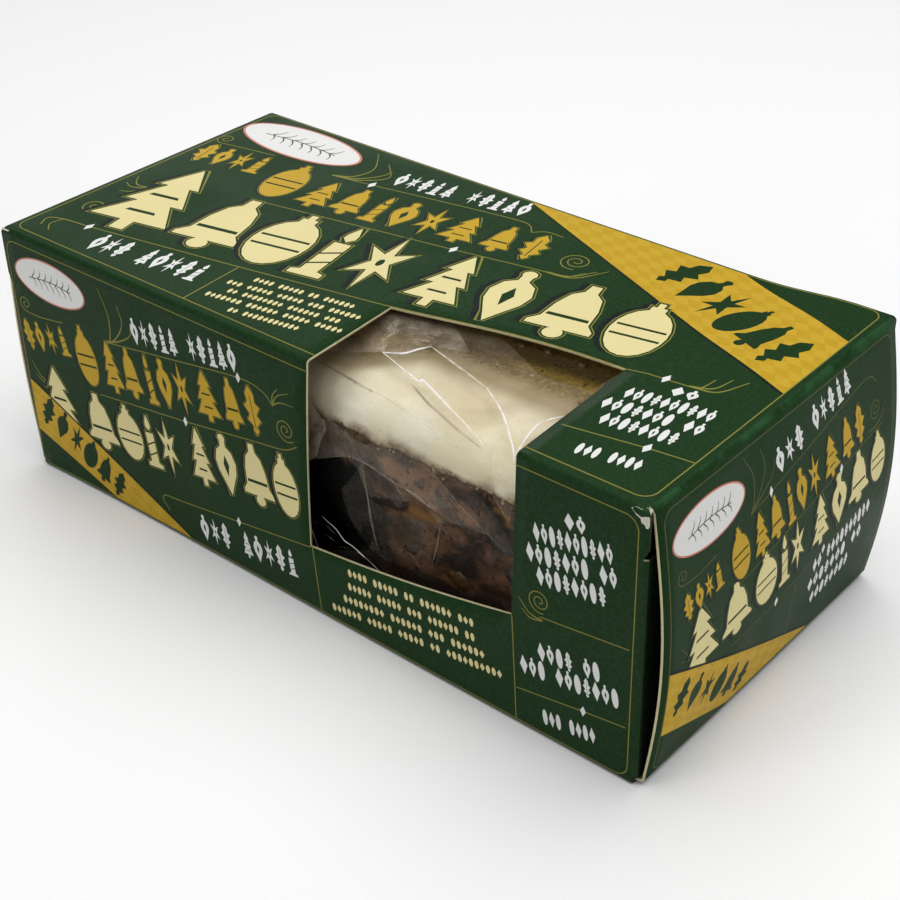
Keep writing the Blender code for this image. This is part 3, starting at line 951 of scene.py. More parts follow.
def drop():
    body = [(0.0, 0.0), (0.16, 0.16), (0.40, 0.38), (0.46, 0.55), (0.34, 0.72), (0.12, 0.80), (0.12, 0.88)]
    heart = both_sides([(0.0, 0.30), (0.13, 0.50), (0.0, 0.66)])
    return [both_sides(body), ring_points(0.93, 0.16, 0.07, 10)], [heart]


def leaf():
    foot = [(0.0, 0.0), (0.18, 0.10), (0.10, 0.18), (0.42, 0.30)]
    tip = [(0.22, 0.42), (0.50, 0.58), (0.24, 0.66), (0.26, 0.84), (0.0, 1.0)]
    return [both_sides(foot + tip)], [both_sides([(0.025, 0.12), (0.025, 0.8)])]


def lozenge():
    return [[(0.5, 0.5), (0.0, 1.0), (-0.5, 0.5), (0.0, 0.0)]], []


def bead():
    return [ring_points(0.5, 0.42, 0.5, 14)], []


def placed(outline, foot, slope, width, height):
    """Moves an ornament's outline to its place on a sloping row."""
    along = Vector((1.0, slope)).normalized()
    up = Vector((-along.y, along.x))
    return [Vector(foot) + along * (u * width) + up * (v * height) for u, v in outline]


# A tip turns sharply where its two outward ways add up to less than the first, and no tip is
# drawn out further than the second allows
SHARP_TIP = 0.5
LEAST_COSINE = 0.45


def outset(outline, distance):
    """The outline grown by a distance, with its sharp tips held back."""
    outline = anticlockwise(outline)
    grown = []
    for i, point in enumerate(outline):
        before = (point - outline[i - 1]).normalized()
        after = (outline[(i + 1) % len(outline)] - point).normalized()
        out = Vector((before.y, -before.x)) + Vector((after.y, -after.x))
        if out.length < SHARP_TIP:
            out = before - after
        out.normalize()
        cosine = max(out.dot(Vector((after.y, -after.x))), LEAST_COSINE)
        grown.append(point + out * (distance / cosine))
    return grown


# What each ink's row of ornaments is made of
CREAM_MOTIFS = (fir, bell, bauble, candle, star, fir, drop, bell, bauble)
GOLD_MOTIFS = (bauble, fir, bell, candle, drop, star, fir, bell, leaf)
SMALL_GOLD_MOTIFS = (leaf, drop, star, candle)
BAND_MOTIFS = (leaf, drop, star, bauble, bell, leaf)
# What words are made of, from tall letters to small print
TALL = (drop, star, leaf, candle, fir)
SMALL = (lozenge, drop, bead, leaf)
TINY = (bead, lozenge, bead)
PLAIN = (bead, lozenge)
WORD_FULLNESS = 0.84
# How far along its throw each copy of an ornament's shadow lies, and how wide the shadow and the
# gap inside the gold contour are, as shares of the contour's rim
SHADOW_SHARES = (1.0, 0.66, 0.33)
SHADOW_RIM = 0.8
GAP_RIM = 0.62


def dressed(fills, cuts, ink_name, rim, throw):
    """An ornament in the title's style: a thrown shadow, a gold contour, a gap and the fill."""
    shapes = []
    for share in SHADOW_SHARES:
        off = Vector(throw) * share
        shapes += [("shadow", [p + off for p in outset(fill, rim * SHADOW_RIM)]) for fill in fills]
    shapes += [("line", outset(fill, rim)) for fill in fills]
    shapes += [(None, outset(fill, rim * GAP_RIM)) for fill in fills]
    shapes += [(ink_name, fill) for fill in fills]
    return shapes + [(None, cut) for cut in cuts]


def title_row(ink_name, start, slope, motifs, sizes, rim=0.0, throw=(0.0, 0.0)):
    """Ornaments of given (place, width, height) along a sloping line from start."""
    shapes = []
    for motif, (at, width, height) in zip(motifs, sizes):
        foot = (at, start[1] + slope * (at - start[0]))
        fills, cuts = motif()
        fills = [placed(fill, foot, slope, width, height) for fill in fills]
        cuts = [placed(cut, foot, slope, width, height) for cut in cuts]
        shapes += dressed(fills, cuts, ink_name, rim, throw)
    return shapes


def word_row(ink_name, start, end, height, words, motifs):
    """Small ornaments in the rhythm of words, given by their counts, between two points."""
    start = Vector(start)
    end = Vector(end)
    cells = sum(words) + len(words) - 1
    pitch = (end - start).length / cells
    slope = (end.y - start.y) / (end.x - start.x)
    shapes = []
    cell = 0
    for word in words:
        for _ in range(word):
            foot = start.lerp(end, (cell + 0.5) / cells)
            for colour, outlines in zip((ink_name, None), motifs[cell % len(motifs)]()):
                for outline in outlines:
                    shapes.append((colour, placed(outline, foot, slope, pitch * WORD_FULLNESS, height)))
            cell += 1
        cell += 1
    return shapes


def word_rows(ink_name, rows):
    """Rows of words, each given as its start, end, height, words and motifs."""
    return [shape for row in rows for shape in word_row(ink_name, *row)]


def text_block(height, rows):
    """Small cream print, each row given as its start, end and words."""
    return word_rows("cream", [(start, end, height, words, TINY) for start, end, words in rows])


BADGE_STEPS = 56
SPRIG_NEEDLES = 7


def badge(centre, across, tall):
    """The white oval with its thin rose edge and a plain sprig in it."""
    u, v = centre
    edge = oval(centre, across, tall, BADGE_STEPS)
    shapes = [("rose", edge), ("white", oval(centre, across * 0.965, tall * 0.93, BADGE_STEPS))]
    stem = [(u - across * 0.6, v - tall * 0.1), (u, v + tall * 0.06), (u + across * 0.6, v - tall * 0.02)]
    shapes.append(("slate", stroke(smooth_line(stem), tall * 0.05)))
    for i in range(SPRIG_NEEDLES):
        at = u + across * mix(-0.5, 0.5, i / (SPRIG_NEEDLES - 1))
        for side in (1, -1):
            tip = (at + across * 0.10, v + side * tall * 0.42)
            middle = (at + across * 0.08, v + side * tall * 0.2)
            shapes.append(("slate", stroke(smooth_line([(at, v), middle, tip], 3), tall * 0.13, 0.5, 0.2)))
    return shapes


def in_print(*places):
    """Places along and up or back from the window's own measures, in the print's millimetres."""
    return [(along / MM, away / MM) for along, away in places]


def edge_places(edge, away):
    """Places along the window's sill or far edge, column by column."""
    start, end = edge[0][0], edge[1][0]
    return [(along, away(along)) for along in [start, *spread(start, end, WINDOW_COLUMNS)]]


def left_places():
    """Places down the window's left edge on the front, row by row."""
    places = []
    for step in reversed([step for step in FRONT_STEPS if step > SILL_STEP]):
        along = window_sides("front", step)[0]
        places.append((along, front_height(along, step)))
    return places


LEFT_FOLD, RIGHT_FOLD = WINDOW_FOLD
PAST_FOLD = 2 * FOLD_RADIUS
FAR_EDGE = edge_places(WINDOW_BACK, lintel_depth)
WINDOW_ON_TOP = in_print(
    (LEFT_FOLD, -PAST_FOLD),
    (RIGHT_FOLD, -PAST_FOLD),
    (RIGHT_FOLD, 0.0),
    *FAR_EDGE[::-1],
    (LEFT_FOLD, 0.0),
)
WINDOW_ON_FRONT = in_print(
    (LEFT_FOLD, HEIGHT + PAST_FOLD),
    (LEFT_FOLD, HEIGHT),
    *left_places(),
    *edge_places(WINDOW_SILL, sill_height),
    (RIGHT_FOLD, HEIGHT),
    (RIGHT_FOLD, HEIGHT + PAST_FOLD),
)

# Where the front's top corners have lost their ink
TORN_CORNER = [
    (156.4, 56.8), (157.2, 57.3), (158.1, 57.2), (159.0, 57.8), (159.9, 57.8), (159.95, 54.8),
    (159.7, 54.2), (159.3, 54.1), (159.0, 54.7), (158.4, 54.8), (158.2, 55.5), (157.4, 55.9),
]
NICKED_CORNER = [(0.3, 57.5), (2.6, 57.5), (2.4, 57.2), (0.3, 57.1)]


def top_print():
    shapes = frame_lines(1.9, 2.3, 158.0, 76.3, 2.6, TOP_LINE)
    shapes += badge((19.0, 68.1), 17.2, 6.9)
    shapes += feather((36.0, 60.2), [
        [(40.0, 62.5), (40.9, 68.0), (36.3, 74.6)],
        [(41.6, 62.3), (45.0, 68.0), (41.8, 71.8)],
        [(42.0, 61.6), (46.3, 66.0), (45.0, 69.3)],
    ])
    shapes += spiral((3.9, 59.6), 2.3, 1.6, -80, TOP_LINE)
    shapes += curve([(4.2, 57.3), (9.0, 58.2), (19.0, 59.9)])
    shapes += curve([(36.0, 60.2), (46.0, 61.7), (62.0, 64.6), (78.0, 67.3), (83.5, 67.5), (86.3, 65.0)])
    shapes += curve([(86.3, 65.0), (88.5, 67.0), (92.5, 67.2)])
    shapes += rule([(32.8, 41.2), (79.0, 49.3), (103.0, 54.0)])
    shapes += feather((99.0, 53.2), [
        [(103.8, 54.6), (106.6, 59.2)],
        [(104.6, 54.4), (108.3, 60.8)],
        [(103.0, 53.8), (105.2, 57.4)],
    ])
    shapes += spiral((101.0, 60.2), 3.4, 2.2, -65, TOP_LINE)
    shapes += spiral((7.8, 18.4), 3.1, 1.7, -10, 0.3)
    shapes += curve([(10.9, 17.9), (13.2, 18.2), (13.3, 24.0), (10.8, 31.6)], 0.3)
    shapes += feather((10.8, 31.6), [
        [(6.5, 31.0), (3.5, 34.0)],
        [(6.5, 29.5), (3.8, 30.4)],
        [(8.0, 27.8), (5.8, 26.6)],
    ])
    shapes += curve([(14.5, 11.3), (7.5, 10.4), (4.4, 8.8), (5.6, 6.0)], 0.3)
    shapes += curve([(7.5, 10.4), (7.0, 7.4), (9.0, 5.2)])
    along_window = [(u, v + TOP_LINE / 2) for u, v in in_print(*FAR_EDGE)]
    shapes += rule([(14.5, 11.3), (51.0, 17.7), (84.2, 23.9), *along_window, (136.0, 33.8), (145.5, 34.4)])
    shapes += feather((144.0, 34.4), [
        [(147.8, 36.0), (149.0, 40.4)],
        [(149.0, 35.4), (151.7, 41.3)],
        [(146.0, 35.2), (146.6, 38.8)],
    ])
    shapes += rule([(51.5, 17.6), (52.5, 2.4)])
    shapes += rule([(134.3, 11.4), (149.5, 14.1), (157.8, 15.2)])
    band = [(77.5, 76.2), (129.0, 76.2), (157.9, 63.6), (157.9, 41.8)]
    shapes += [("shadow", [(77.0, 76.2), (157.9, 41.2), (157.9, 42.4)]), ("band", band)]
    shapes += title_row("ivy", (115.6, 64.4), -0.49, BAND_MOTIFS, [
        (117.1, 6.6, 12.6), (123.4, 6.0, 12.6), (129.6, 6.6, 12.8), (135.8, 6.6, 12.8), (142.1, 6.8, 12.2),
        (148.2, 6.0, 12.2),
    ])
    shapes += title_row("gold", (6.3, 47.0), 0.21, SMALL_GOLD_MOTIFS, [
        (6.6, 4.6, 9.4), (11.2, 3.8, 8.8), (15.9, 3.9, 8.8), (20.6, 3.9, 8.6),
    ], 0.3, (-0.4, -0.2))
    shapes += title_row("gold", (31.0, 43.7), 0.178, GOLD_MOTIFS, [
        (32.0, 8.6, 16.8), (42.0, 7.2, 12.4), (49.8, 6.6, 12.4), (56.3, 4.0, 12.0), (62.0, 5.6, 12.0),
        (68.6, 5.8, 12.0), (76.0, 7.6, 12.0), (84.6, 5.8, 11.6), (91.8, 5.2, 11.4),
    ], 0.36, (-0.6, -0.25))
    shapes += title_row("cream", (20.5, 14.5), 0.199, CREAM_MOTIFS, [
        (19.0, 19.0, 31.0), (37.5, 15.0, 23.5), (52.0, 13.0, 23.0), (63.3, 8.0, 22.5), (73.8, 11.0, 22.5),
        (89.0, 11.0, 22.0), (101.4, 9.6, 21.5), (114.6, 13.0, 21.5), (128.0, 11.0, 21.0),
    ], 0.62, (-1.3, -0.35))
    shapes += word_rows("white", [
        ((48.3, 64.2), (80.6, 69.4), 6.6, (5, 5), TALL),
        ((20.4, 4.2), (49.0, 8.0), 7.2, (3, 5), TALL),
        ((142.4, 29.9), (147.8, 30.6), 3.3, (2,), SMALL),
        ((136.6, 24.5), (153.4, 26.5), 4.0, (10,), SMALL),
        ((135.4, 19.6), (154.2, 22.0), 4.0, (7, 2), SMALL),
        ((138.2, 15.2), (152.4, 17.2), 4.0, (8,), SMALL),
        ((140.6, 5.6), (152.2, 7.7), 3.4, (3, 4), PLAIN),
    ])
    shapes += text_block(1.7, [
        ((57.6, 15.2), (80.2, 19.0), (4, 5, 2, 6)), ((54.2, 11.4), (84.0, 16.6), (3, 5, 5, 3, 6)),
        ((56.8, 9.0), (82.0, 13.2), (2, 8, 6, 3)), ((54.4, 5.6), (84.8, 10.8), (7, 6, 5, 5)),
        ((62.4, 3.8), (78.0, 6.6), (2, 11)),
    ])
    shapes += kites(((46.0, 61.8), (79.0, 49.4), (14.5, 11.3), (139.5, 34.2), (149.5, 14.1)))
    return shapes + [(None, WINDOW_ON_TOP)]


def front_print():
    shapes = frame_lines(1.2, 1.0, 158.0, 55.3, 2.6, SIDE_LINE)
    shapes += badge((13.8, 49.0), 11.0, 4.8)
    shapes += spiral((4.3, 41.4), 1.9, 1.6, -80, SIDE_LINE)
    shapes += curve([(4.6, 39.5), (9.0, 39.6), (16.0, 40.7)], SIDE_LINE)
    shapes += feather((28.5, 40.8), [
        [(31.0, 42.0), (31.6, 47.5), (29.5, 53.2)],
        [(32.4, 42.4), (35.6, 47.0), (34.8, 51.0)],
        [(33.4, 42.4), (37.6, 45.2), (38.2, 48.2)],
    ], 0.30)
    shapes += curve([(28.5, 40.8), (48.0, 44.0), (68.3, 47.2), (74.6, 46.6), (77.0, 44.5)], SIDE_LINE)
    shapes += feather((77.0, 44.5), [
        [(77.3, 46.8), (78.7, 48.6)],
        [(78.4, 47.0), (81.4, 48.6)],
        [(79.2, 45.9), (82.4, 46.2)],
    ], 0.24)
    shapes += rule([(25.0, 27.0), (51.3, 30.8), (72.0, 34.4)], SIDE_LINE)
    shapes += curve([(72.0, 34.4), (79.0, 35.6), (82.6, 37.6)], SIDE_LINE)
    shapes += spiral((79.9, 40.2), 2.6, 2.1, -40, SIDE_LINE)
    shapes += feather((8.4, 23.0), [
        [(5.2, 24.4), (3.0, 27.3)],
        [(6.0, 23.0), (3.6, 24.2)],
        [(7.2, 22.0), (5.7, 21.9)],
    ], 0.26)
    shapes += curve([
        (42.5, 5.5), (40.8, 7.4), (41.6, 9.0), (46.0, 9.6), (63.9, 12.3), (84.0, 15.5),
    ], SIDE_LINE)
    shapes += rule([(84.5, 16.0), (85.7, 1.0)], SIDE_LINE)
    shapes += rule([(133.0, 24.0), (134.0, 1.1)], SIDE_LINE)
    shapes += rule([(134.0, 8.3), (148.5, 10.8), (157.3, 12.1)], SIDE_LINE)
    shapes += curve([(139.0, 26.6), (144.0, 27.2), (157.3, 28.9)], SIDE_LINE)
    shapes += spiral((138.9, 29.8), 2.5, 2.1, -70, SIDE_LINE)
    shapes += feather((139.6, 26.0), [[(136.8, 26.4), (134.4, 28.8)], [(137.0, 25.4), (135.2, 26.6)]], 0.24)
    shapes += title_row("cream", (11.5, 11.6), 0.13, CREAM_MOTIFS, [
        (11.8, 11.4, 16.6), (24.4, 9.6, 13.2), (33.6, 7.6, 12.8), (40.2, 4.8, 12.2), (45.6, 5.6, 12.2),
        (55.4, 6.4, 13.2), (63.0, 6.2, 13.8), (71.4, 8.4, 13.8), (79.4, 6.4, 13.8),
    ], 0.42, (-0.9, -0.25))
    band = [(1.35, 22.2), (48.3, 1.15), (25.0, 1.15), (1.35, 9.6)]
    shapes += [("shadow", [(1.35, 22.2), (1.35, 22.8), (49.2, 1.15), (48.3, 1.15)]), ("band", band)]
    shapes += title_row("ivy", (3.0, 12.1), -0.47, BAND_MOTIFS, [
        (3.9, 4.2, 8.6), (8.1, 3.8, 8.6), (12.3, 4.2, 8.8), (16.5, 4.3, 8.6), (20.8, 4.4, 8.0),
        (25.0, 3.9, 7.8),
    ])
    shapes += title_row("gold", (4.4, 30.5), 0.21, SMALL_GOLD_MOTIFS, [
        (4.4, 3.2, 7.0), (8.0, 2.8, 6.6), (11.8, 2.9, 6.6), (15.8, 3.1, 6.6),
    ], 0.24, (-0.3, -0.15))
    shapes += title_row("gold", (23.2, 28.4), 0.155, GOLD_MOTIFS, [
        (23.2, 6.2, 13.6), (31.0, 5.6, 11.8), (37.0, 5.2, 11.2), (42.6, 3.0, 11.2), (47.2, 4.4, 11.0),
        (52.3, 4.6, 11.0), (59.4, 6.6, 11.0), (66.5, 4.8, 10.8), (72.2, 4.2, 10.6),
    ], 0.28, (-0.5, -0.2))
    shapes += word_rows("white", [
        ((38.3, 43.7), (68.9, 48.2), 5.9, (5, 5), TALL),
        ((51.8, 2.6), (80.2, 6.2), 6.2, (3, 5), TALL),
    ])
    shapes += text_block(1.8, [
        ((93.6, 13.2), (124.6, 16.8), (4, 5, 2, 6, 3)), ((93.4, 9.9), (124.8, 13.6), (5, 5, 3, 6, 2)),
        ((92.0, 6.4), (127.0, 10.8), (8, 6, 3, 6)), ((88.8, 2.8), (131.0, 8.4), (6, 5, 5, 2, 10)),
    ])
    shapes += word_rows("white", [
        ((143.8, 47.0), (148.4, 47.7), 3.3, (2,), SMALL),
        ((137.6, 41.7), (153.8, 44.2), 4.0, (10,), SMALL),
        ((136.2, 37.1), (154.8, 39.9), 4.0, (7, 2), SMALL),
        ((138.4, 33.1), (152.8, 35.3), 4.0, (8,), SMALL),
        ((138.8, 16.9), (152.2, 19.0), 4.1, (4, 2), SMALL),
        ((135.0, 12.2), (156.2, 15.4), 4.1, (3, 7), SMALL),
        ((140.0, 3.1), (151.6, 4.9), 3.4, (3, 4), PLAIN),
    ])
    shapes += kites(((68.3, 47.2), (51.3, 30.8), (63.9, 12.3), (148.5, 10.8)), 1.2, 2.3)
    shapes += [("torn", TORN_CORNER), ("torn", NICKED_CORNER)]
    return shapes + [(None, WINDOW_ON_FRONT)]


def end_print():
    shapes = frame_lines(3.0, 1.9, 74.8, 55.6, 2.4, SIDE_LINE)
    shapes += badge((14.8, 48.6), 10.4, 4.5)
    shapes += spiral((6.7, 42.2), 1.6, 1.5, -80, SIDE_LINE)
    shapes += curve([(7.0, 40.6), (10.0, 40.4), (16.0, 41.2)], SIDE_LINE)
    shapes += feather((26.5, 43.4), [
        [(27.6, 45.4), (27.8, 50.0), (25.3, 54.5)],
        [(28.8, 45.4), (31.4, 49.5), (30.5, 53.5)],
        [(29.6, 45.0), (33.4, 47.4), (34.3, 50.0)],
    ], 0.26)
    shapes += curve([(26.5, 43.3), (32.8, 44.5), (50.0, 47.8), (65.0, 50.5), (69.0, 48.5)], SIDE_LINE)
    shapes += rule([(20.0, 31.0), (56.0, 37.2), (71.0, 39.5)], SIDE_LINE)
    shapes += spiral((68.4, 43.4), 2.1, 1.9, -60, SIDE_LINE)
    shapes += feather((66.0, 39.6), [[(69.6, 40.4), (72.4, 43.6)], [(69.0, 40.0), (72.6, 41.6)]], 0.24)
    shapes += feather((12.6, 25.2), [[(9.0, 25.2), (6.2, 28.2)], [(9.4, 24.2), (6.4, 25.2)]], 0.24)
    shapes += rule([(22.0, 18.5), (36.3, 19.6), (51.8, 22.3), (72.0, 25.2)], SIDE_LINE)
    shapes += rule([(43.0, 19.6), (43.6, 5.6)], SIDE_LINE)
    band = [(3.2, 24.6), (53.8, 2.1), (25.8, 2.1), (3.2, 10.8)]
    shapes += title_row("cream", (13.0, 19.4), 0.135, CREAM_MOTIFS, [
        (13.2, 9.6, 14.6), (23.4, 8.6, 11.8), (32.4, 6.6, 11.6), (38.2, 3.6, 11.2), (42.4, 4.6, 11.0),
        (50.2, 5.6, 11.4), (56.6, 5.6, 11.6), (63.6, 7.0, 11.6), (70.6, 5.2, 11.4),
    ], 0.38, (-0.8, -0.2))
    shapes += [("shadow", [(3.2, 24.6), (3.2, 25.2), (54.8, 2.1), (53.8, 2.1)]), ("band", band)]
    shapes += title_row("ivy", (5.4, 13.4), -0.45, BAND_MOTIFS, [
        (6.2, 4.0, 8.0), (10.6, 3.6, 8.0), (14.8, 3.9, 8.0), (19.2, 4.0, 7.8), (23.6, 4.3, 7.2),
        (27.8, 3.7, 6.8),
    ])
    shapes += title_row("gold", (8.4, 33.0), 0.16, SMALL_GOLD_MOTIFS, [
        (8.4, 2.8, 5.6), (11.4, 2.4, 5.4), (14.2, 2.5, 5.4), (17.0, 2.6, 5.4),
    ], 0.22, (-0.3, -0.12))
    shapes += title_row("gold", (24.0, 32.4), 0.165, GOLD_MOTIFS, [
        (24.0, 5.2, 10.8), (30.2, 4.6, 9.4), (35.0, 4.2, 9.2), (39.4, 2.6, 9.0), (43.2, 3.6, 9.0),
        (47.4, 3.8, 9.0), (53.2, 5.2, 8.8), (58.8, 3.8, 8.6), (63.2, 3.4, 8.4),
    ], 0.25, (-0.45, -0.15))
    shapes += word_rows("white", [
        ((35.0, 46.0), (44.4, 47.8), 5.2, (3,), TALL),
        ((47.0, 48.4), (60.4, 50.8), 5.2, (5,), TALL),
        ((49.0, 18.0), (69.2, 21.2), 3.5, (2, 10), SMALL),
        ((48.6, 13.5), (67.4, 16.5), 3.5, (7, 2), SMALL),
        ((51.0, 9.1), (64.4, 11.3), 3.5, (8,), SMALL),
    ])
    shapes += kites(((32.8, 44.5), (56.0, 37.2), (36.3, 19.6), (51.8, 22.3)), 1.1, 2.2)
    return [("faint_line" if name == "line" else name, shape) for name, shape in shapes]


def back_print():
    shapes = frame_lines(1.6, 1.6, 158.4, 55.4, 2.6, SIDE_LINE)
    shapes += badge((20.0, 46.5), 11.0, 4.8)
    shapes += rule([(36.0, 42.0), (72.0, 47.6), (112.0, 53.6)], SIDE_LINE)
    shapes += rule([(8.0, 22.0), (60.0, 29.8), (118.0, 38.6), (150.0, 43.4)], SIDE_LINE)
    shapes += rule([(12.0, 9.0), (52.0, 14.8), (98.0, 21.6)], SIDE_LINE)
    shapes += spiral((121.0, 47.0), 2.8, 2.1, -60, SIDE_LINE)
    shapes += spiral((7.4, 14.0), 2.4, 1.9, -20, SIDE_LINE)
    shapes += feather((36.0, 42.0), [
        [(39.0, 43.8), (40.2, 48.0), (38.0, 53.0)],
        [(40.6, 44.0), (43.8, 48.0), (43.4, 51.6)],
        [(41.4, 43.6), (45.2, 46.0), (46.6, 48.8)],
    ], 0.30)
    shapes += title_row("cream", (17.0, 10.8), 0.148, CREAM_MOTIFS, [
        (18.0, 11.4, 16.4), (31.0, 9.6, 13.2), (41.0, 7.8, 12.8), (48.4, 4.8, 12.4), (54.6, 5.8, 12.4),
        (66.0, 6.8, 13.2), (74.4, 6.4, 13.6), (83.4, 8.4, 13.6), (92.6, 6.6, 13.4),
    ], 0.42, (-0.9, -0.25))
    band = [(101.0, 1.75), (137.0, 1.75), (158.25, 11.2), (158.25, 27.2)]
    shapes += [("shadow", [(100.2, 1.75), (158.25, 27.8), (158.25, 27.2), (101.0, 1.75)]), ("band", band)]
    shapes += title_row("gold", (30.0, 28.2), 0.15, GOLD_MOTIFS, [
        (30.0, 6.2, 13.4), (38.4, 5.6, 11.8), (45.6, 5.2, 11.4), (52.0, 3.2, 11.2), (57.6, 4.4, 11.2),
        (63.6, 4.8, 11.2), (71.8, 6.6, 11.2), (80.2, 4.8, 11.0), (87.2, 4.4, 10.8),
    ], 0.28, (-0.5, -0.2))
    shapes += text_block(1.8, [
        ((104.0, 28.6), (132.0, 32.8), (4, 5, 2, 6)), ((103.0, 25.2), (134.0, 29.8), (5, 5, 3, 6)),
        ((102.0, 21.8), (130.0, 26.0), (8, 6, 3)),
    ])
    shapes += word_row("white", (128.0, 44.6), (150.0, 47.9), 5.0, (3, 5), TALL)
    shapes += kites(((72.0, 47.6), (60.0, 29.8), (118.0, 38.6), (52.0, 14.8)), 1.2, 2.3)
    return shapes


def bottom_print():
    shapes = frame_lines(3.0, 3.0, 157.0, 74.5, 2.6, TOP_LINE)
    shapes += frame_lines(8.0, 8.0, 152.0, 69.5, 2.6, SIDE_LINE)
    rows = ((58.0, (8, 6, 3, 9)), (53.5, (4, 11, 5, 7)), (49.0, (7, 7, 2, 10)), (44.5, (9, 3, 8)))
    for v, words in rows:
        shapes += word_row("cream", (20.0, v), (20.0 + 2.0 * sum(words), v), 1.9, words, TINY)
    shapes += title_row("gold", (92.0, 40.0), 0.0, (fir, bell, bauble, star), [
        (96.0, 7.0, 15.0), (108.0, 7.0, 14.0), (119.5, 7.0, 14.0), (130.0, 6.5, 14.0),
    ], 0.36, (-0.6, -0.25))
    shapes += rule([(16.0, 34.0), (80.0, 34.0), (144.0, 34.0)], SIDE_LINE)
    shapes += kites([(80.0, 34.0)])
    for i in range(11):
        start, end = ((edge + 11.6 * i, 16.0) for edge in (18.0, 26.0))
        shapes += word_row("white", start, end, 10.0, (2,), TALL[i % 3:])
    return shapes


def build_inks():
    return {
        "cream": ink("cream_ink", CREAM),
        "gold": ink("gold_ink", GOLD),
        "line": ink("line_gold_ink", LINE_GOLD),
        "faint_line": ink("faint_gold_ink", FAINT_GOLD),
        "white": ink("white_ink", WHITE),
        "shadow": ink("shadow_ink", SHADOW),
        "rose": ink("rose_ink", ROSE),
        "slate": ink("slate_ink", SLATE),
        "ivy": ink("ivy_ink", GREEN),
        "band": band_gold(),
        "torn": bare_board("torn_board", TORN_BOARD, TORN_FIBRE),
    }


# The cake and its icing, as rings one above the other, with this many points each

AROUND = 420

# How the cake's foot is rounded, and the levels of its side above its base
CAKE_FOOT_INSETS = (0.0055, 0.0012)
CAKE_LEVELS = spread(0.0008, 0.0386, 64)
CRAG_SIZE = 0.0075
CRAG_DEPTH = 0.0007

# Tones of the crumb; the last two are painted shade, in the pores and over the darkest places
DARK_CRUMB = (0.011, 0.006, 0.005)
BROWN_CRUMB = (0.145, 0.070, 0.034)
PALE_SPECK = (0.160, 0.076, 0.032)
PEEL = (0.180, 0.080, 0.020)
AMBER = (0.330, 0.160, 0.028)
RUDDY = (0.330, 0.165, 0.085)
PORE_SHADE = (0.004, 0.002, 0.001)
PAINTED_SHADE_BLACK = (0.0012, 0.0008, 0.0006)

# Places on the cake's front painted near black as shade, as middle (x, z), half reach (x, z) and amount
PAINTED_SHADE_PLACES = (
    ((0.0035, 0.0215), (0.0160, 0.0170), 1.0),
    ((0.0172, 0.0281), (0.0058, 0.0014), 0.9),
    ((0.0212, 0.0232), (0.0050, 0.0034), 0.6),
    ((0.0360, 0.0215), (0.0046, 0.0028), 0.8),
    ((0.0385, 0.0383), (0.0050, 0.0014), 0.7),
    ((0.0435, 0.0350), (0.0026, 0.0024), 0.6),
    ((0.0145, 0.0392), (0.0036, 0.0014), 0.7),
    ((0.0424, 0.0390), (0.0018, 0.0017), 0.8),
    ((0.0449, 0.0358), (0.0017, 0.0023), 0.8),
    ((0.0468, 0.0332), (0.0015, 0.0026), 0.8),
    ((0.0284, 0.0137), (0.0120, 0.0015), 0.7),
    ((0.0440, 0.0190), (0.0050, 0.0015), 0.7),
)

# Places where moist peel shows amber
AMBER_PLACES = (
    ((0.0212, 0.0272), (0.0032, 0.0008), 0.8),
    ((0.0257, 0.0290), (0.0036, 0.0012), 1.0),
    ((0.0302, 0.0306), (0.0024, 0.0010), 0.8),
    ((0.0440, 0.0402), (0.0011, 0.0009), 0.8),
    ((0.0448, 0.0384), (0.0014, 0.0012), 0.9),
    ((0.0464, 0.0369), (0.0012, 0.0015), 0.9),
)

# Places where the crumb is ruddy and paler
RUDDY_PLACES = (
    ((0.0250, 0.0368), (0.0090, 0.0030), 1.0),
    ((0.0385, 0.0345), (0.0050, 0.0026), 1.0),
    ((0.0275, 0.0325), (0.0050, 0.0013), 0.8),
    ((0.0335, 0.0284), (0.0040, 0.0020), 0.7),
    ((0.0240, 0.0172), (0.0100, 0.0038), 0.8),
    ((0.0465, 0.0205), (0.0060, 0.0045), 0.9),
)


def plan_ring(inset, taper=0.0):
    """Points round the loaf's outline, set in by a distance, evenly spread from the front's middle."""
    half_x = CAKE_LENGTH / 2 - inset - taper
    half_y = (CAKE_BACK - CAKE_FRONT) / 2 - inset - taper
    middle_y = (CAKE_BACK + CAKE_FRONT) / 2
    radius = max(CAKE_CORNER - inset, LEAST_CORNER)
    straight_x = 2 * (half_x - radius)
    straight_y = 2 * (half_y - radius)
    quarter = math.pi / 2 * radius
    runs = (straight_x, quarter, straight_y, quarter, straight_x, quarter, straight_y, quarter)
    around = sum(runs)
    points = []
    for i in range(AROUND):
        left = (i / AROUND * around + straight_x / 2) % around
        run = 0
        while left > runs[run]:
            left -= runs[run]
            run += 1
        points.append(plan_point(run, left, half_x, half_y, radius) + Vector((0, middle_y)))
    return points


def plan_point(run, left, half_x, half_y, radius):
    """A point on one of the eight runs of a rounded rectangle, anticlockwise from its front side."""
    inner_x = half_x - radius
    inner_y = half_y - radius
    if run % 2:
        corners = (
            (inner_x, -inner_y, -90),
            (inner_x, inner_y, 0),
            (-inner_x, inner_y, 90),
            (-inner_x, -inner_y, 180),
        )
        x, y, start = corners[run // 2]
        angle = math.radians(start) + left / radius
        return Vector((x + radius * math.cos(angle), y + radius * math.sin(angle)))
    starts = ((-inner_x, -half_y), (half_x, -inner_y), (inner_x, half_y), (-half_x, inner_y))
    ways = ((1, 0), (0, 1), (-1, 0), (0, -1))
    return Vector(starts[run // 2]) + left * Vector(ways[run // 2])


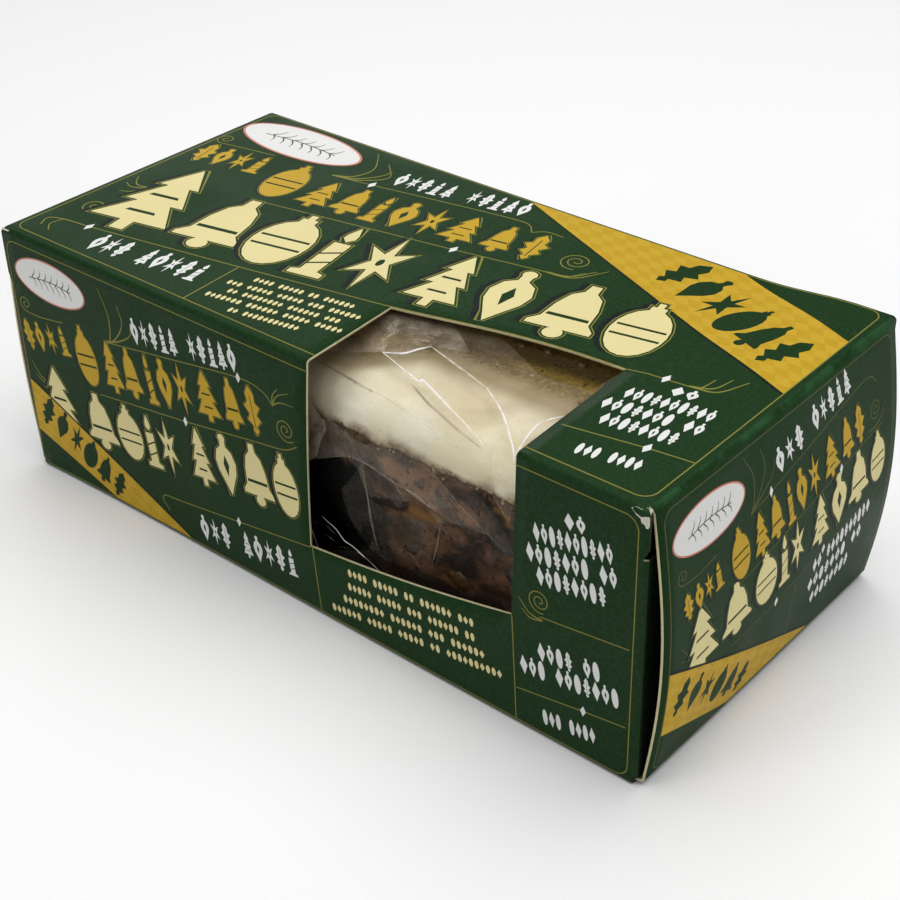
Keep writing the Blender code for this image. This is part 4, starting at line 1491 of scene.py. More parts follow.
def outward(ring, i):
    """The way out of a ring at one of its points."""
    along = ring[(i + 1) % len(ring)] - ring[i - 1]
    return Vector((along.y, -along.x)).normalized()


def raised(point, height):
    """A point of the plan, at a height."""
    return Vector((point.x, point.y, height))


def plan_noise(point, layer, size):
    """Noise over the plan, whose lumps are about size metres across."""
    return noise.noise(raised(point, layer) / size)


def level_ring(inset, height, taper=0.0):
    return [raised(point, height) for point in plan_ring(inset, taper)]


def seam_wave(point):
    """How far the uneven line between cake and icing leaves its level."""
    return SEAM_WAVE * plan_noise(point, 0.022, SEAM_WAVE_SIZE) + SEAM_NOTCH * plan_noise(point, 0.4, 0.0026)


def crag(point):
    """Rough relief of fruit and crumb, between about -1 and 1."""
    at = point / CRAG_SIZE
    lumps = 1 - 2 * min(noise.voronoi(at)[0][0], 1.0)
    crumbs = noise.noise(at * 2.3)
    return mix(lumps, crumbs, 0.35)


def ring_piece(name, rings, made, slot):
    """A closed piece from rings of points, one inside or above the other."""
    verts = [point for ring in rings for point in ring]
    faces = []
    for k in range(len(rings) - 1):
        for i in range(AROUND):
            j = (i + 1) % AROUND
            faces.append((k * AROUND + i, k * AROUND + j, (k + 1) * AROUND + j, (k + 1) * AROUND + i))
    for k in (0, len(rings) - 1):
        centre = sum((Vector(point) for point in rings[k]), Vector()) / AROUND
        verts.append(centre)
        for i in range(AROUND):
            j = (i + 1) % AROUND
            rim = (k * AROUND + i, k * AROUND + j) if k else (k * AROUND + j, k * AROUND + i)
            faces.append((*rim, len(verts) - 1))
    piece = new_piece(name, verts, faces, [made])
    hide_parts(slot_node(slot))
    return piece


def slot_node(slot):
    return {"cake_crumb": "cake", "icing": "icing"}[slot]


def side_plan(level):
    """The loaf's outline at a level of its side, which leans out towards the icing."""
    return plan_ring(0.0, CAKE_TAPER * (1 - level / (ICING_BASE - CAKE_BASE)))


def cake_side_ring(level):
    """A ring up the loaf's rough side."""
    ring = side_plan(level)
    points = []
    for i, point in enumerate(ring):
        place = raised(point, CAKE_BASE + level)
        grit = 0.35 * noise.noise(place / 0.0016) + 0.25 * noise.noise(place / 0.0008)
        out = outward(ring, i).to_3d()
        points.append(place + out * CRAG_DEPTH * (crag(place) + grit))
    return points


def build_cake():
    rings = [level_ring(inset, CAKE_BASE, CAKE_TAPER) for inset in CAKE_FOOT_INSETS]
    rings += [cake_side_ring(level) for level in CAKE_LEVELS]
    rings += [[raised(point, ICING_BASE + seam_wave(point)) for point in plan_ring(0.0)]]
    rings += [level_ring(RIM_INSET, ICING_BASE)]
    loaf = ring_piece("cake_loaf", rings, crumb_material(), "cake_crumb")
    for name, places in (("painted_shade", PAINTED_SHADE_PLACES), ("amber", AMBER_PLACES), ("ruddy", RUDDY_PLACES)):
        store_amounts(loaf.data, name, most_at, places)
    build_fruit()


def crumb_material():
    """Moist crumb, near black to reddish brown, with amber and ruddy places, pores painted dark as shade and
    places painted near black as shade.
    """
    shader = Shader("fruit_cake_crumb")
    crumbs = shader.noise(0.0011, detail=5.0, roughness=0.7)
    patches = shader.noise(0.0075, detail=3.0, roughness=0.6)
    peel = shader.range(shader.noise(0.0100, detail=2.0, roughness=0.7), 0.62, 0.72)
    tone = shader.blend(shader.range(patches, 0.38, 0.60), DARK_CRUMB, BROWN_CRUMB)
    tone = shader.blend(peel, tone, PEEL)
    tone = shader.blend(shader.range(crumbs, 0.52, 0.70), tone, PALE_SPECK)
    tone = shader.blend(shader.product(shader.amount("ruddy"), crumbs), tone, RUDDY)
    tone = shader.blend(shader.range(shader.cells(0.0017), 0.05, 0.35), PORE_SHADE, tone)
    tone = shader.blend(shader.product(shader.amount("amber"), crumbs), tone, AMBER)
    return shader.finish(
        Base_Color=shader.blend(shader.amount("painted_shade"), tone, PAINTED_SHADE_BLACK),
        Roughness=shader.range(patches, 0.3, 0.7, 0.45, 0.75),
        Normal=shader.bump(crumbs, 0.9, 0.0006),
        Specular_IOR_Level=0.25,
    )


def most_at(point, places):
    """How strongly the ragged oval places on the cake's front cover a point."""
    if point.y > 0:
        return 0.0
    wander = 0.30 * noise.noise(point / 0.0030)
    most = 0.0
    for (x, z), (across, tall), amount in places:
        off = math.hypot((point.x - x) / across, (point.z - z) / tall)
        most = max(most, amount * (1.0 - smooth_step(0.75, 1.10, off + wander)))
    return most


FRUIT_KINDS = (
    ("raisin", (0.008, 0.005, 0.006), 0.34),
    ("sultana", (0.115, 0.046, 0.014), 0.30),
    ("currant", (0.040, 0.013, 0.008), 0.34),
    ("peel", PEEL, 0.34),
)
# How often each kind comes, how many lumps are tried, and where a place of painted shade or an amber place
# drops one
FRUIT_SHARES = (7, 4, 5, 1)
FRUIT_LUMPS = 520
MOST_PAINTED_SHADE = 0.3
MOST_AMBER = 0.5


def fruit_material(name, colour, roughness):
    shader = Shader(name)
    wrinkles = shader.noise(0.0010, detail=3.0, roughness=0.6)
    skin = shader.blend(shader.range(wrinkles, 0.35, 0.7), darker(colour, 0.45), colour)
    return shader.finish(
        Base_Color=skin,
        Roughness=shader.range(wrinkles, 0.3, 0.7, roughness, roughness + 0.2),
        Normal=shader.bump(wrinkles, 0.7, 0.0006),
    )


# How far apart the noise of neighbouring lumps lies, and how deep and how close their dents are
LUMP_SPREAD = 900
DENTS = (0.42, 1.3)
WRINKLES = (0.16, 3.1)


def lump(centre, size, turn, detail=2):
    """A wrinkled pebble of given half sizes."""
    pebble = bmesh.new()
    bmesh.ops.create_icosphere(pebble, subdivisions=detail, radius=1.0)
    for vertex in pebble.verts:
        place = vertex.co + Vector(centre) * LUMP_SPREAD
        dent = 1 + sum(depth * noise.noise(place * close) for depth, close in (DENTS, WRINKLES))
        scaled = Vector([vertex.co[k] * size[k] * dent for k in range(3)])
        vertex.co = Vector(centre) + turn @ scaled
    verts = [vertex.co.copy() for vertex in pebble.verts]
    faces = [[vertex.index for vertex in face.verts] for face in pebble.faces]
    pebble.free()
    return verts, faces


def gather(lumps):
    """Lumps, each with a material number, as one list of points, of faces and of numbers."""
    verts = []
    faces = []
    slots = []
    for (points, tris), slot in lumps:
        faces += [[i + len(verts) for i in face] for face in tris]
        slots += [slot] * len(tris)
        verts += points
    return verts, faces, slots


def build_fruit():
    """Fruit that shows at the crumb's side, half sunk in it."""
    rng = random.Random(7)
    lumps = []
    for _ in range(FRUIT_LUMPS):
        level = rng.uniform(0.002, 0.0365)
        ring = side_plan(level)
        i = rng.randrange(AROUND)
        out = outward(ring, i).to_3d()
        size = (rng.uniform(0.0018, 0.0042), rng.uniform(0.0010, 0.0017), rng.uniform(0.0013, 0.0028))
        sunk = rng.uniform(0.45, 1.05) * size[1]
        centre = raised(ring[i], CAKE_BASE + level) - out * sunk
        facing = out.to_track_quat("Y", "Z").to_matrix()
        turn = facing @ Matrix.Rotation(rng.uniform(0, math.pi), 3, "Y")
        kind = rng.choices(range(len(FRUIT_KINDS)), FRUIT_SHARES)[0]
        if most_at(centre, PAINTED_SHADE_PLACES) < MOST_PAINTED_SHADE and most_at(centre, AMBER_PLACES) < MOST_AMBER:
            lumps.append((lump(centre, size, turn), kind))
    verts, faces, slots = gather(lumps)
    fruits = [fruit_material(*kind) for kind in FRUIT_KINDS]
    new_piece("cake_fruit", verts, faces, fruits, slots)


# The icing's rounded edge, as (outset from the loaf's outline, level above the icing's base)
ICING_PROFILE = (
    (0.0002, 0.0),
    (0.0004, 0.0014),
    (0.0003, 0.0030),
    (-0.0003, 0.0047),
    (-0.0015, 0.0064),
    (-0.0035, 0.0080),
    (-0.0064, 0.0091),
    (-0.0105, 0.0098),
)
ICING_HEIGHT = ICING_TOP - ICING_BASE
TOP_INSETS = spread(0.0108, 0.0310, 40)
TOP_RIPPLE = 0.00035


def icing_ring(past, level):
    """A ring of the icing, set out past the loaf's outline, at a level above the icing's base."""
    share = min(level / ICING_HEIGHT, 1.0)
    ring = plan_ring(-past)
    points = []
    for i, point in enumerate(ring):
        wave = seam_wave(point) * (1 - share)
        place = raised(point, ICING_BASE + GAP * (1 - share) + level + wave)
        swell = 0.00028 * noise.noise(place / 0.0083) + 0.00012 * noise.noise(place / 0.0022)
        ripple = TOP_RIPPLE * plan_noise(point, 0.071, 0.0143) * smooth_step(0.8, 1.0, share)
        points.append(place + outward(ring, i).to_3d() * swell + Vector((0, 0, ripple)))
    return points


def build_icing():
    rings = [level_ring(RIM_INSET, ICING_BASE + GAP)]
    rings += [icing_ring(past, level) for past, level in smooth_line(ICING_PROFILE, 5)]
    rings += [icing_ring(-inset, ICING_HEIGHT) for inset in TOP_INSETS]
    slab = ring_piece("icing_slab", rings, icing_material(), "icing")
    store_amounts(slab.data, "smear_and_shade", smear_and_shade_at)
    store_amounts(slab.data, "soaked", soaked_at)
    build_crumbs()


# The icing's top is darkened brown from this depth back, nearer the front left of the turn, by a smear of
# crumb and by painted shade under the board's far edge
SMEAR_SHADE_MIDDLE = -0.0150
SMEAR_SHADE_SOFTNESS = 0.0090
SMEAR_SHADE_TURN = 0.0160
SMEAR_SHADE_MOST_TURN = 0.0110
# Where the smear and its painted shade thin out again, along the depth and at its left
SMEAR_SHADE_BACK = (0.0060, 0.0180)
SMEAR_SHADE_LEFT = (-0.0140, -0.0020)
# How far up the icing's side the brown of the cake has soaked in
SOAK_REACH = 0.0034

# Pairs of tones that the icing's clouds and grit go between
TOP_TONES = ((0.76, 0.68, 0.46), (0.88, 0.82, 0.63))
# The side's tones are paler than the top's: painted light on the icing's side
LIT_SIDE_TONES = ((0.90, 0.84, 0.62), (0.96, 0.93, 0.79))
SOAK_TONES = ((0.10, 0.045, 0.016), (0.46, 0.33, 0.16))
# The smear's tones darken the icing's far top as crumb smear and as painted shade under the board's far edge
SMEAR_SHADE_TONES = ((0.15, 0.100, 0.025), (0.29, 0.210, 0.070))
FAR_SMEAR_SHADE_TONES = ((0.30, 0.195, 0.030), (0.47, 0.330, 0.075))
GRAIN_TONE = (0.60, 0.52, 0.32)
THIN_SMEAR_SHADE = (0.36, 0.29, 0.16)
# How far below the icing's top its tone turns into the side's paler tone, which is painted light
EDGE_FADE = (0.0045, 0.0005)


def smear_and_shade_at(point):
    """How much crumb smear and painted shade darken the icing's top at a point."""
    middle = SMEAR_SHADE_MIDDLE - min(max(0.0, SMEAR_SHADE_TURN - point.x), SMEAR_SHADE_MOST_TURN)
    wander = 0.0015 * plan_noise(point, 0.013, 0.0060)
    smear_and_shade = smooth_step(-SMEAR_SHADE_SOFTNESS, SMEAR_SHADE_SOFTNESS, point.y - middle + wander)
    return smear_and_shade * (1 - smooth_step(*SMEAR_SHADE_BACK, point.y)) * smooth_step(*SMEAR_SHADE_LEFT, point.x)


def soaked_at(point):
    """How much of the cake's brown has soaked into the icing's side at a point."""
    reach = SOAK_REACH * (1 + 0.8 * noise.noise(point / 0.0028))
    return 1 - smooth_step(0.0, reach, point.z - ICING_BASE - seam_wave(point))


def icing_material():
    """Soft sugar icing, paler down its side as painted light, browned at its foot, and darkened under a smear
    of crumb that also carries painted shade.
    """
    shader = Shader("icing_sugar")
    cloud = shader.noise(0.0120, detail=3.0)
    grain = shader.noise(0.0007, detail=3.0)
    grit = shader.range(shader.noise(0.0009, detail=4.0, roughness=0.7), 0.42, 0.66)
    height = shader.add("ShaderNodeSeparateXYZ", Vector=shader.place).outputs["Z"]
    on_top = shader.range(height, *(ICING_TOP - below for below in EDGE_FADE))
    smear_and_shade = shader.amount("smear_and_shade")
    clouds = shader.range(cloud, 0.35, 0.7)
    tone = shader.blend(on_top, shader.blend(clouds, *LIT_SIDE_TONES), shader.blend(clouds, *TOP_TONES))
    tone = shader.blend(shader.range(grain, 0.62, 0.8), tone, GRAIN_TONE)
    tone = shader.blend(shader.amount("soaked"), tone, shader.blend(grit, *SOAK_TONES))
    tone = shader.blend(shader.range(smear_and_shade, 0.0, 0.5), tone, THIN_SMEAR_SHADE)
    tone = shader.blend(shader.range(smear_and_shade, 0.5, 0.87), tone, shader.blend(grit, *SMEAR_SHADE_TONES))
    tone = shader.blend(shader.range(smear_and_shade, 0.93, 1.0), tone, shader.blend(grit, *FAR_SMEAR_SHADE_TONES))
    return shader.finish(
        Base_Color=tone,
        Roughness=shader.range(cloud, 0.3, 0.7, 0.50, 0.62),
        Normal=shader.bump(cloud, 0.4, 0.0012, shader.bump(grain, 0.25, 0.0002)),
        Specular_IOR_Level=0.35,
    )


# The biggest loose crumbs that show on the icing, at the window's far side
PALE_CRUMBS = ((0.0267, -0.0028), (0.0321, -0.0018), (0.0398, -0.0017))
PALE_CRUMB = (0.0007, 0.0004, 0.0004)
# How many crumbs are tried on the icing's top and along its lower edge
TOP_CRUMBS = 420
SEAM_CRUMBS = 2400
# The crumbs' materials by number: the list to draw from has more of the commoner one
PALE, BROWN = 0, 1
TOP_MIX = (PALE, BROWN, BROWN)
SEAM_MIX = (PALE, BROWN, BROWN, BROWN, BROWN, BROWN)


def any_turn(rng):
    return Euler([rng.uniform(0, math.pi) for _ in range(3)]).to_matrix()


def top_crumbs(rng):
    lumps = []
    for _ in range(TOP_CRUMBS):
        x = rng.uniform(-0.060, 0.066)
        y = rng.uniform(-0.012, 0.030)
        size = [rng.uniform(0.00012, 0.00034) for _ in range(3)]
        turn = any_turn(rng)
        if rng.random() < 0.10 + smear_and_shade_at(Vector((x, y, 0))):
            lumps.append((lump((x, y, ICING_TOP + 0.0001), size, turn, 1), rng.choice(TOP_MIX)))
    return lumps


def seam_crumbs(rng):
    lumps = []
    seam = plan_ring(-0.0001)
    for _ in range(SEAM_CRUMBS):
        point = rng.choice(seam)
        bulk = 0.00010 + 0.00042 * rng.random() ** 3
        size = [bulk * rng.uniform(0.7, 1.3) for _ in range(3)]
        turn = any_turn(rng)
        level = ICING_BASE + seam_wave(point) + rng.gauss(-0.0003, 0.0007)
        slot = rng.choice(SEAM_MIX)
        if plan_noise(point, 0.9, 0.0060) > rng.uniform(-0.3, 0.4):
            lumps.append((lump((point.x, point.y, level), size, turn, 1), slot))
    return lumps


def build_crumbs():
    """Loose crumbs on the icing's top and along its lower edge."""
    rng = random.Random(11)
    lumps = top_crumbs(rng)
    for x, y in PALE_CRUMBS:
        lumps.append((lump((x, y, ICING_TOP + 0.0003), PALE_CRUMB, Matrix.Identity(3)), PALE))
    lumps += seam_crumbs(rng)
    verts, faces, slots = gather(lumps)
    pale = fruit_material("pale_crumb", (0.66, 0.54, 0.32), 0.6)
    brown = fruit_material("brown_crumb", (0.13, 0.065, 0.025), 0.6)
    new_piece("icing_crumbs", verts, faces, [pale, brown], slots)


# The clear film: a slack tube with flat facets between sharp creases. Its sheet is laid out with x
# along the carton and s round the section from the front's foot, over the top and down the back.

# The tube's section and its ends: a distance past the cake goes with how open the tube is there
FILM = 0.0003
FILM_FRONT = CAKE_FRONT - FILM_STANDOFF - FILM
FILM_BACK = CAKE_BACK + FILM_STANDOFF + FILM
FILM_LOW = 0.0009
FILM_HALF = CAKE_LENGTH / 2 + FILM_STANDOFF
FIN_HALF = 0.0002
CLOSING = ((0.0016, 0.75), (0.0032, 0.45), (0.0050, 0.0))
END_NARROWING = 0.0020
# How wide the sheet's loose facets are, how far they stand out, and how sharp a fold stays sharp
FACET = 0.0085
SLACK = 0.0008
REST_SLACK = 0.4 * SLACK
SHARP_ANGLE = math.radians(4)
# How finely the sheet's borders and its bends are divided
SHEET_TOLERANCE = 1e-6
SHEET_COLUMNS = 12
SHEET_ROWS = 18
ROW_POINTS = 48
CORNER_ROWS = 8
# Haze and gloss of the gathered ends, and the ranges that facets out of sight draw theirs from
END_FINISH = (0.04, 1.0)
HIDDEN_HAZE = (0.0, 0.05)
HIDDEN_GLOSS = (0.25, 1.0)
# Where the top billows up along s, and how near the ends it flattens
BILLOW = 0.0030
BILLOW_RISE = (0.060, 0.070)
BILLOW_FALL = (0.084, 0.094)
BILLOW_ENDS = 0.020
# Along s, the strip over the front's top corner where the folds are eased
CORNER_EASE = 0.25
CORNER_STRIP = (0.045, 0.059)

# Creases that show in the window, as a kind and its line of (x, s) in millimetres
CREASES = (
    ("bright", ((10.5, 63.0), (12.6, 63.6), (14.7, 64.4), (16.4, 65.9), (18.3, 67.5))),
    ("bright", ((10.5, 63.0), (21.2, 60.5), (22.2, 60.8), (31.6, 57.0), (42.4, 52.6))),
    ("faint", ((18.3, 67.5), (25.5, 66.2), (33.8, 64.4))),
    ("bright", ((33.8, 64.4), (38.9, 61.7), (42.8, 58.7), (47.9, 54.0), (49.3, 52.1))),
    ("bright", (
        (49.2, 52.2), (48.7, 54.7), (47.8, 57.5), (47.0, 60.7), (47.6, 62.6), (48.8, 64.2), (50.4, 65.2),
    )),
    ("faint", ((45.5, 50.2), (47.0, 49.0), (48.5, 48.0))),
    ("faint", ((41.0, 49.5), (42.3, 49.8), (43.5, 49.9))),
    ("thin", ((3.7, 21.1), (6.9, 19.5), (9.3, 18.0), (11.0, 17.5), (12.6, 16.9), (15.6, 15.6), (20.2, 14.0))),
    ("thin", ((0.2, 17.2), (1.2, 15.0), (2.0, 12.7))),
    ("dull", ((6.0, 54.2), (20.2, 53.2), (31.6, 51.6), (40.0, 49.5))),
    ("dull", ((44.0, 57.0), (44.6, 53.0), (45.0, 49.0))),
    ("dull", ((0.9, 20.4), (1.4, 18.4), (2.6, 19.6))),
    ("dull", ((3.0, 16.6), (5.2, 16.9), (6.6, 16.3))),
    ("dull", ((7.0, 15.4), (10.5, 16.6))),
    ("dull", ((4.4, 19.4), (6.6, 18.0))),
    ("dull", ((4.1, 34.5), (10.3, 37.4), (15.1, 38.3), (22.0, 37.2), (29.8, 36.0), (36.8, 34.3))),
    ("dull", ((31.6, 43.3), (38.4, 38.5), (44.5, 35.0), (49.0, 32.4))),
    ("dull", ((15.1, 38.3), (16.0, 31.2), (16.7, 24.0), (17.9, 19.9))),
    ("dull", ((22.6, 37.0), (25.5, 34.1))),
    ("dull", ((24.0, 37.0), (32.3, 35.0))),
    ("dull", ((45.5, 44.0), (49.4, 39.5))),
    ("dull", ((33.2, 32.0), (32.4, 27.0), (31.0, 22.0))),
    ("dull", ((26.0, 23.2), (29.0, 19.6))),
    ("shade", ((0.4, 55.0), (9.0, 54.0), (13.4, 53.5), (17.3, 53.3))),
    ("shade", ((9.0, 54.1), (12.4, 53.7), (16.6, 53.2))),
    ("shade", ((22.0, 58.5), (27.4, 56.0), (34.5, 53.7), (42.0, 52.0))),
    ("shade", ((21.2, 58.8), (24.5, 57.2), (29.0, 55.2))),
    ("shade", ((15.4, 36.5), (16.4, 30.8), (17.3, 24.0), (18.6, 20.4))),
    ("shade", ((23.4, 36.4), (29.8, 35.0), (36.4, 33.4))),
    ("shade", ((10.7, 24.5), (15.5, 18.8))),
)
# How wide and high a crease of each kind stands, in millimetres, and its colour, solidity and metal
# The pale kinds' white stands in for glints on the folds: painted highlight over the film's own whitening;
# the shade kind's dark is painted shade
CREASE_KINDS = {
    "bright": (0.39, 0.14, (0.95, 0.94, 0.90), 1.0, 0.0),
    "faint": (0.40, 0.12, (0.90, 0.87, 0.80), 0.55, 0.0),
    "thin": (0.28, 0.10, (0.92, 0.91, 0.88), 0.85, 0.0),
    "dull": (0.30, 0.08, (0.62, 0.54, 0.44), 0.24, 0.6),
    "shade": (0.55, 0.05, (0.03, 0.02, 0.01), 0.28, 0.9),
}
# Places across a crease, as shares of its half width, and how far it lies clear of the film
CREASE_SHARES = (-1.0, -0.6, 0.0, 0.6, 1.0)
CREASE_CLEAR = 0.00002

# Facets that show in the window: how hazy and how glossy each is, and its outline as (x, s)
FACETS = (
    (0.55, 0.3, (
        (2.1, 46.5), (5.6, 43.5), (6.2, 41.5), (4.6, 38.5), (3.6, 34.9), (1.0, 32.5), (-3.0, 32.0),
        (-3.0, 46.5),
    )),
    (0.13, 0.4, (
        (2.0, 42.9), (7.7, 44.2), (12.0, 42.1), (15.1, 38.3), (10.3, 37.4), (4.1, 34.5), (1.0, 32.5),
    )),
    (0.00, 0.0, (
        (1.0, 32.5), (4.1, 34.5), (10.3, 37.4), (13.6, 36.0), (9.0, 29.0), (10.7, 24.5), (15.5, 18.8),
        (12.6, 17.1), (2.0, 12.5), (-2.0, 12.5), (-3.0, 32.0),
    )),
    (0.016, 0.15, ((9.0, 29.0), (13.6, 36.0), (16.0, 31.2), (16.5, 21.5), (15.5, 18.8), (10.7, 24.5))),
    (0.04, 0.3, ((15.1, 38.3), (22.0, 36.8), (25.5, 34.1), (16.0, 31.2))),
    (0.09, 0.5, (
        (15.1, 38.3), (12.0, 42.1), (17.0, 42.6), (24.4, 44.8), (31.6, 43.3), (38.4, 38.5), (32.3, 35.6),
        (24.0, 37.4),
    )),
    (0.05, 0.4, ((32.3, 35.6), (38.4, 38.5), (44.5, 35.0), (36.8, 34.3))),
    (0.03, 0.3, (
        (31.6, 43.3), (41.5, 43.1), (46.0, 39.6), (49.0, 35.9), (49.0, 32.4), (44.5, 35.0), (38.4, 38.5),
    )),
    (0.00, 0.1, ((41.5, 43.1), (45.5, 44.0), (49.4, 39.5), (49.0, 35.9), (46.0, 39.6))),
    (0.05, 0.4, ((45.5, 44.0), (49.3, 44.8), (49.4, 39.5))),
    (0.005, 0.05, ((16.0, 31.2), (25.5, 34.1), (29.8, 36.0), (32.9, 32.6), (28.6, 31.0), (20.0, 29.6))),
    (0.026, 0.15, (
        (16.0, 31.2), (20.0, 29.6), (28.6, 31.0), (32.9, 32.6), (31.5, 29.0), (30.5, 20.5), (21.0, 17.9),
        (22.0, 22.1), (17.9, 19.9), (16.5, 21.5),
    )),
    (0.006, 0.1, (
        (32.9, 32.6), (36.8, 34.3), (44.5, 35.0), (49.0, 32.4), (49.3, 22.3), (41.5, 22.7), (39.5, 19.3),
        (32.5, 19.3), (30.5, 20.5), (31.5, 29.0),
    )),
    (0.03, 0.1, (
        (15.5, 18.8), (21.0, 17.9), (30.5, 20.5), (32.5, 19.3), (39.5, 19.3), (41.5, 22.7), (49.3, 22.3),
        (50.0, 12.0), (12.6, 12.0), (12.6, 17.1),
    )),
    (0.09, 0.4, ((-2.0, 51.5), (-1.5, 57.0), (4.2, 59.8), (10.5, 63.0), (11.2, 57.0), (8.5, 51.5))),
    (0.26, 0.14, (
        (0.9, 57.1), (-3.0, 73.3), (-3.0, 80.0), (13.0, 82.0), (16.7, 76.0), (25.4, 70.0), (18.3, 67.5),
        (14.7, 64.4), (10.5, 63.0), (4.2, 59.8),
    )),
    (0.07, 0.4, (
        (16.7, 76.0), (26.0, 77.7), (40.0, 71.4), (34.5, 67.0), (25.5, 66.2), (18.3, 67.5), (25.4, 70.0),
    )),
    (0.00, 0.2, ((26.0, 77.7), (38.0, 79.8), (50.6, 81.0), (49.9, 72.6), (40.0, 71.4))),
)


def billow(x, s):
    """How far the film's top bellies up towards the board behind the window."""
    rise = smooth_step(*BILLOW_RISE, s) * (1 - smooth_step(*BILLOW_FALL, s))
    return BILLOW * rise * smooth_step(0.0, BILLOW_ENDS, FILM_HALF - abs(x))


def film_runs(openness):
    """The section from the front's foot: its corners, the straight side after each, and their radius."""
    middle = mix(FILM_LOW, FILM_TOP, 0.5)
    half = mix(FIN_HALF, (FILM_TOP - FILM_LOW) / 2, openness)
    corner = min(FILM_CORNER, half * 0.98)
    narrowing = END_NARROWING * (1 - openness)
    front = FILM_FRONT + narrowing
    back = FILM_BACK - narrowing
    low = middle - half
    high = middle + half
    centres = (
        (front + corner, low + corner, 270),
        (front + corner, high - corner, 180),
        (back - corner, high - corner, 90),
        (back - corner, low + corner, 0),
    )
    straights = (high - low - 2 * corner, back - front - 2 * corner) * 2
    return centres, straights, corner


def film_point(x, s, stand=0.0, openness=1.0):
    """A point of the film, standing out from its section by a distance."""
    _, open_straights, open_corner = film_runs(1.0)
    centres, straights, corner = film_runs(openness)
    arc = open_corner * math.pi / 2
    for run, (y, z, start) in enumerate(centres):
        on_corner = s <= arc
        angle = math.radians(start - (90 * s / arc if on_corner else 90))
        way = Vector((0.0, math.cos(angle), math.sin(angle)))
        place = Vector((x, y, z)) + way * (corner + stand * openness)
        if on_corner:
            return place
        s -= arc
        if s <= open_straights[run] or run == len(centres) - 1:
            return place + Vector((0.0, way.z, -way.y)) * (straights[run] * s / open_straights[run])
        s -= open_straights[run]


def film_length():
    """How long the sheet is, once round the section."""
    _, straights, corner = film_runs(1.0)
    return sum(straights) + 2 * math.pi * corner


def slack_reach():
    """Where the sheet leaves its base, past the back's foot."""
    _, straights, corner = film_runs(1.0)
    return sum(straights[:3]) + 1.5 * math.pi * corner


def set_places(rng):
    """The creases' and facets' points, how far each stands out, and the edges between them."""
    places = []
    edges = []
    lines = [line for kind, line in CREASES if kind != "shade"]
    lines += [(*outline, outline[0]) for _, _, outline in FACETS]
    for line in lines:
        for k, place in enumerate(line):
            if k:
                edges.append((len(places) - 1, len(places)))
            places.append((Vector(place) * MM, rng.uniform(0.1, 0.7) * SLACK))
    return places, edges


def loose_places(rng, taken):
    """Points strewn over the rest of the sheet, and how far each stands out."""
    places = []
    for i in range(int(2 * FILM_HALF / FACET)):
        for j in range(int(slack_reach() / FACET)):
            jitter = Vector([rng.uniform(0.1, 0.9) for _ in range(2)])
            height = rng.uniform(0.0, SLACK)
            spot = Vector((-FILM_HALF + (i + jitter.x) * FACET, (j + jitter.y) * FACET))
            if min((spot - near).length for near, _ in taken) > FACET / 2:
                places.append((spot, height))
    return places


def rim_places():
    """Points along the sheet's borders, where it has no slack."""
    reach = slack_reach()
    columns = [mix(-FILM_HALF, FILM_HALF, i / SHEET_COLUMNS) for i in range(SHEET_COLUMNS + 1)]
    spots = [(x, s) for x in columns for s in (0.0, reach, film_length())]
    spots += [(x, s) for s in spread(0.0, reach, SHEET_ROWS)[:-1] for x in (-FILM_HALF, FILM_HALF)]
    return [(Vector(spot), 0.0) for spot in spots]


def facet_sheet():
    """The slack sheet's corner points, its facets, and how far each point stands out."""
    rng = random.Random(5)
    places, edges = set_places(rng)
    places += loose_places(rng, places)
    places += rim_places()
    points = [point for point, _ in places]
    found = delaunay_2d_cdt(points, edges, [], ALL_TRIANGLES, SHEET_TOLERANCE)
    flat, _, facets, sources, _, _ = found
    stands = []
    for point, source in zip(flat, sources):
        eased = CORNER_EASE if CORNER_STRIP[0] < point.y < CORNER_STRIP[1] else 1.0
        stands.append(eased * (places[source[0]][1] if source else REST_SLACK) + billow(*point))
    return flat, facets, stands


def film_rows(before):
    """Points and edges that let the sheet bend round its corners, numbered after those before them."""
    _, straights, corner = film_runs(1.0)
    arc = corner * math.pi / 2
    rows = []
    start = 0.0
    for straight in straights:
        rows += [start + arc * k / CORNER_ROWS for k in range(CORNER_ROWS + 1)]
        start += arc + straight
    xs = [-FILM_HALF, *spread(-FILM_HALF, FILM_HALF, ROW_POINTS)]
    points = [Vector((x, s)) for s in rows for x in xs]
    edges = [(before + i - 1, before + i) for i in range(len(points)) if i % len(xs)]
    return points, edges


def within(outline, point):
    """Whether a point of the sheet is inside an outline in millimetres."""
    inside = False
    x, s = point / MM
    for (ax, ay), (bx, by) in zip(outline, outline[1:] + outline[:1]):
        if (ay > s) != (by > s) and x < ax + (bx - ax) * (s - ay) / (by - ay):
            inside = not inside
    return inside


def bent_sheet(flat, facets):
    """The facets cut up further by rows of points, so that the sheet bends round its corners."""
    edges = [(f[k], f[k - 1]) for f in facets for k in range(len(f))]
    row_points, row_edges = film_rows(len(flat))
    points = [Vector(p) for p in flat] + row_points
    found = delaunay_2d_cdt(points, edges + row_edges, [], ALL_TRIANGLES, SHEET_TOLERANCE)
    return found[0], found[2]


def add_film_end(skin, sheet, made, end):
    """Gathers one end of the film's tube into its flat fin seal."""
    rim = [i for i, p in enumerate(sheet) if abs(p.x - end * FILM_HALF) < SHEET_TOLERANCE]
    rim.sort(key=lambda i: sheet[i].y)
    lines = [[made[i] for i in rim]]
    stations = [(CAKE_LENGTH / 2 + past, share) for past, share in CLOSING] + [(FILM_END, 0.0)]
    for x, share in stations:
        lines.append([skin.verts.new(film_point(end * x, sheet[i].y, 0.0, share)) for i in rim])
    return strip_faces(skin, lines)


